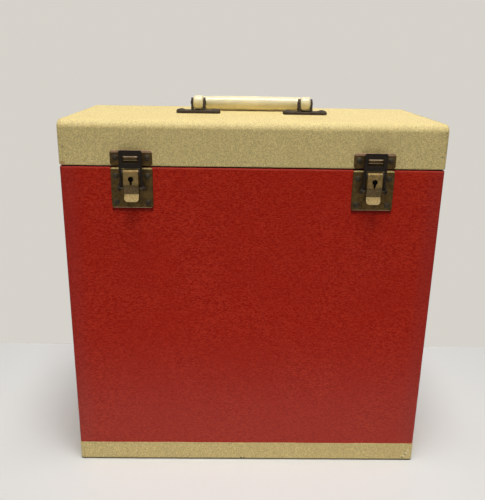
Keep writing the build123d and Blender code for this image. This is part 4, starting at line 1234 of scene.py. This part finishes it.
def link_pins(x, side):
    """The two short pins that carry the link, with domed heads outside its ears."""
    pins = bmesh.new()
    for sign in (-1, 1):
        inner = LINK_PIVOT + Vector((sign * LINK_PIN_INNER, 0, 0))
        outer = LINK_PIVOT + Vector((sign * (LEG_OUTER + LEG_FLARE + LINK_EAR_PLAY), 0, 0))
        rod(pins, inner, outer, LINK_PIN_RADIUS, 16)
        domed_head(pins, outer, (sign, 0, 0), LINK_PIN_HEAD, LINK_PIN_DOME, 20, 5)
    return to_object(pins, f"latch_{side}_link_pin_heads", on_front(x))


class CASE_OT_latches(bpy.types.Operator):
    """Make both draw latches: plates, hooks, levers, links and the heads of their pins"""

    bl_idname = "case.latches"
    bl_label = "Draw latches"

    def execute(self, context):
        for side in SIDES:
            x = middle_of(f"latch_{side}_base_plate")
            finished(catch_plate(x, side), "bronzed_steel", "lid",
                     [f"latch_{side}_catch_plate"])
            finished(catch_hook(x, side), "hook_steel", "lid")
            finished(base_plate(x, side), "bronzed_steel", "case",
                     [f"latch_{side}_base_plate"])
            finished(lever_shell(x, side), "lever_brass", f"{side}_lever",
                     [f"latch_{side}_lever"], edge=0.15)
            finished(link_frame(x, side), "dark_link", f"{side}_link", [f"latch_{side}_link"])
            finished(link_pins(x, side), "steel_pins", f"{side}_lever",
                     [f"latch_{side}_link_pins"])
        return {"FINISHED"}


class CASE_OT_rivets(bpy.types.Operator):
    """Set the domed rivets of the latches and hinges"""

    bl_idname = "case.rivets"
    bl_label = "Rivets"

    def execute(self, context):
        latch, hinge = "latch_{}_base_plate", "hinge_{}_body_leaf"
        pair, three = (-RIVET_HALF, RIVET_HALF), (-HINGE_RIVET_PITCH, 0.0, HINGE_RIVET_PITCH)
        groups = (
            ("latch_bases", "latch_base_rivets", "case", latch, pair, BASE_RIVETS, BASE_SHEET),
            ("catches", "latch_catch_rivets", "lid", latch, pair, CATCH_RIVETS, CATCH_SHEET),
            ("body_leaves", "hinge_body_rivets", "case", hinge, three, (-HINGE_RIVETS,), HINGE_SHEET),
            ("lid_leaves", "hinge_lid_rivets", "lid", hinge, three, (HINGE_RIVETS,), HINGE_SHEET),
        )
        for name, node, body, carrier, columns, rows, sheet in groups:
            bm = bmesh.new()
            surface, out, dome, rings = (on_front, -1, 1.0, 7) if carrier == latch else (on_back, 1, 0.5, 5)
            for side in SIDES:
                place = surface(middle_of(carrier.format(side)))
                for dx, row in ((dx, row) for dx in columns for row in rows):
                    domed_head(bm, place @ Vector((dx, row, sheet)), (0, out, 0), RIVET_HEAD,
                               RIVET_HEIGHT * dome, 28, rings, SHANK)
            made = to_object(bm, f"rivets_of_{name}")
            finished(made, "rivet_brass", body, [node], sharp=50.0)
        return {"FINISHED"}


# ---- hinges ---------------------------------------------------------------------------------------
HINGE_WIDTH, HINGE_LEAF, HINGE_SHEET = 50.0, 24.0, 1.2
HINGE_CORNER, HINGE_RIM = 3.0, 0.3
HINGE_RIVETS, HINGE_RIVET_PITCH = 14.5, 18.0
HINGE_PIN_OUT = 2.9
BARREL_RADIUS, BARREL_CLEARANCE = 2.6, 0.3
KNUCKLES = 5
KNUCKLE_GAP = 0.3
KNUCKLE_PITCH = HINGE_WIDTH / KNUCKLES


def knuckle(index, gap, radius):
    """A round bar about the hinge's pin, as long as one knuckle less a gap."""
    bm = bmesh.new()
    middle = (index + 0.5) * KNUCKLE_PITCH - HINGE_WIDTH / 2
    rod_across(bm, (middle, 0, HINGE_PIN_OUT), (KNUCKLE_PITCH - gap) / 2, radius, 32)
    return bm


def leaf_plate(x, name, sign, knuckles):
    """A hinge leaf's plate, notched beside the other leaf's knuckles."""
    bm = bmesh.new()
    flat_plate(bm, HINGE_WIDTH, *sorted((0.0, sign * HINGE_LEAF)), HINGE_SHEET, 0.0, HINGE_RIM)
    far = edges_where(bm, lambda edge: runs_along(edge, 2) and both_at(edge, 1, sign * HINGE_LEAF))
    round_off(bm, far, HINGE_CORNER, 6)
    made = to_object(bm, name, on_back(x))
    others = [index for index in range(KNUCKLES) if index not in knuckles]
    cut(made, *(to_object(knuckle(index, -KNUCKLE_GAP, BARREL_RADIUS + BARREL_CLEARANCE), "notch", on_back(x))
                for index in others))
    return made


def leaf_knuckles(x, name, knuckles):
    """A hinge leaf's own knuckles, rolled round the pin."""
    rolls = bmesh.new()
    for index in knuckles:
        roll = knuckle(index, KNUCKLE_GAP, BARREL_RADIUS)
        round_off(roll, sharp_edges(roll), SMALL_ROUND, 3)
        join_into(rolls, roll)
    return to_object(rolls, name, on_back(x))


class CASE_OT_hinges(bpy.types.Operator):
    """Make the two butt hinges on the back"""

    bl_idname = "case.hinges"
    bl_label = "Hinges"

    def execute(self, context):
        for side in SIDES:
            x = middle_of(f"hinge_{side}_body_leaf")
            for leaf, body, sign, knuckles in (("body", "case", -1, (0, 2, 4)), ("lid", "lid", 1, (1, 3))):
                name = f"hinge_{side}_{leaf}"
                finished(leaf_plate(x, f"{name}_leaf_plate", sign, knuckles), "hinge_steel", body,
                         [f"{name}_leaf"])
                finished(leaf_knuckles(x, f"{name}_knuckles", knuckles), "hinge_steel", body)
        return {"FINISHED"}


# ---- stage, in metres -----------------------------------------------------------------------------
WALL_LINE, WALL_LINE_SOFT = 0.180, 0.0015   # where the floor meets the wall, behind the case
FLOOR_HALF = 6.0
FADE_START, FADE_END = 0.50, 0.90           # how far out the floor turns into the backdrop's colour


def floor_finish(stage):
    """A matt floor that turns into the backdrop's colour behind the case and far from it."""
    f = Finish("floor")
    matt, glow = f.add("ShaderNodeBsdfDiffuse"), f.add("ShaderNodeEmission")
    f.put(matt, "Color", tuple(stage.floor))
    f.put(glow, "Color", tuple(stage.backdrop))
    behind = f.span(f.axis("Y"), WALL_LINE - WALL_LINE_SOFT, WALL_LINE + WALL_LINE_SOFT)
    reach = f.add("ShaderNodeVectorMath", operation="LENGTH")
    f.put(reach, 0, f.place)
    far = f.span(reach.outputs["Value"], FADE_START, FADE_END)
    share = f.times(f.maths("MAXIMUM", behind, far), f.seen_directly())
    f.surface("ShaderNodeOutputMaterial", share, matt, glow)
    return f.material


def make_sky(scene, stage):
    """Even light from all round, which shows as the backdrop's colour."""
    scene.world = bpy.data.worlds.new("studio")
    scene.world.use_nodes = True
    sky = Nodes(scene.world.node_tree)
    light, seen = sky.add("ShaderNodeBackground"), sky.add("ShaderNodeBackground")
    sky.put(light, "Color", (1.0, 1.0, 1.0))
    sky.put(light, "Strength", stage.sky)
    sky.put(seen, "Color", tuple(stage.backdrop))
    sky.surface("ShaderNodeOutputWorld", sky.seen_directly(), light, seen)


def add_floor(scene, stage):
    """A flat floor under the case."""
    bm = bmesh.new()
    bmesh.ops.create_grid(bm, x_segments=1, y_segments=1, size=FLOOR_HALF)
    mesh = bpy.data.meshes.new("floor")
    bm.to_mesh(mesh)
    bm.free()
    mesh.materials.append(floor_finish(stage))
    floor = bpy.data.objects.new("floor", mesh)
    scene.collection.objects.link(floor)


def add_lamp(name, place, aim, size, watts, spread=180.0):
    """A square soft light."""
    lamp = bpy.data.lights.new(name, "AREA")
    lamp.shape = "SQUARE"
    lamp.size = size
    lamp.energy = watts
    lamp.spread = math.radians(spread)
    holder = bpy.data.objects.new(name, lamp)
    holder.location = place
    holder.rotation_euler = (Vector(aim) - Vector(place)).to_track_quat("-Z", "Y").to_euler()
    bpy.context.collection.objects.link(holder)


def add_camera(scene, stage):
    """The camera, turned by its yaw, pitch and roll."""
    yaw, pitch, roll = stage.camera_yaw, stage.camera_pitch, stage.camera_roll
    ahead = Vector((math.sin(yaw) * math.cos(pitch), math.cos(yaw) * math.cos(pitch), -math.sin(pitch)))
    level = Vector((math.cos(yaw), -math.sin(yaw), 0.0))
    upright = level.cross(ahead)
    right = math.cos(roll) * level + math.sin(roll) * upright
    up = -math.sin(roll) * level + math.cos(roll) * upright
    data = bpy.data.cameras.new("camera")
    data.lens = stage.lens
    data.sensor_width = 36.0
    data.clip_start = 0.01
    camera = bpy.data.objects.new("camera", data)
    turn = Matrix((right, up, -ahead)).transposed()
    camera.matrix_world = Matrix.Translation(stage.camera_place) @ turn.to_4x4()
    bpy.context.collection.objects.link(camera)
    scene.camera = camera


class CASE_OT_stage(bpy.types.Operator):
    """Lay the floor, set the lights and place the camera"""

    bl_idname = "case.stage"
    bl_label = "Stage"

    def execute(self, context):
        scene, stage = context.scene, context.scene.case_stage
        scene.view_settings.view_transform = "Standard"
        add_floor(scene, stage)
        make_sky(scene, stage)
        middle = (0.0, 0.0, 0.18)
        add_lamp("overhead", (0.06, -0.45, 2.60), (0.0, -0.10, 0.2), 1.0, stage.overhead, 70.0)
        add_lamp("fill", (-0.7, -1.9, 1.3), middle, 1.2, stage.fill)
        add_lamp("back_fill", (0.6, 1.9, 1.5), middle, 1.2, 2.0 * stage.fill)
        add_camera(scene, stage)
        return {"FINISHED"}


# ---- sidebar and registration ---------------------------------------------------------------------
OPERATORS = (
    CASE_OT_finishes, CASE_OT_body_cloth, CASE_OT_base_band, CASE_OT_lid_cloth, CASE_OT_grip,
    CASE_OT_handle_plates, CASE_OT_latches, CASE_OT_rivets, CASE_OT_hinges, CASE_OT_stage,
)
GROUPS = (CaseColours, ClothSizes, StageSettings)


class CASE_PT_panel(bpy.types.Panel):
    """Settings and pieces of the record case"""

    bl_idname = "CASE_PT_panel"
    bl_label = "Record Case"
    bl_space_type = "VIEW_3D"
    bl_region_type = "UI"
    bl_category = "Record Case"

    def draw(self, context):
        layout = self.layout
        for settings in (context.scene.case_colours, context.scene.case_cloths, context.scene.case_stage):
            box = layout.box()
            for name in settings.bl_rna.properties.keys():
                if name not in {"rna_type", "name"}:
                    box.prop(settings, name)
        for operator in OPERATORS:
            layout.operator(operator.bl_idname)


def register():
    for cls in (*GROUPS, *OPERATORS, CASE_PT_panel):
        bpy.utils.register_class(cls)
    bpy.types.Scene.case_colours = PointerProperty(type=CaseColours)
    bpy.types.Scene.case_cloths = PointerProperty(type=ClothSizes)
    bpy.types.Scene.case_stage = PointerProperty(type=StageSettings)


def unregister():
    del bpy.types.Scene.case_stage
    del bpy.types.Scene.case_cloths
    del bpy.types.Scene.case_colours
    for cls in reversed((*GROUPS, *OPERATORS, CASE_PT_panel)):
        bpy.utils.unregister_class(cls)


def main():
    register()
    bpy.ops.case.finishes()
    bpy.ops.case.body_cloth()
    bpy.ops.case.base_band()
    bpy.ops.case.lid_cloth()
    bpy.ops.case.grip()
    bpy.ops.case.handle_plates()
    bpy.ops.case.latches()
    bpy.ops.case.rivets()
    bpy.ops.case.hinges()
    bpy.ops.case.stage()


if __name__ == "__main__":
    main()
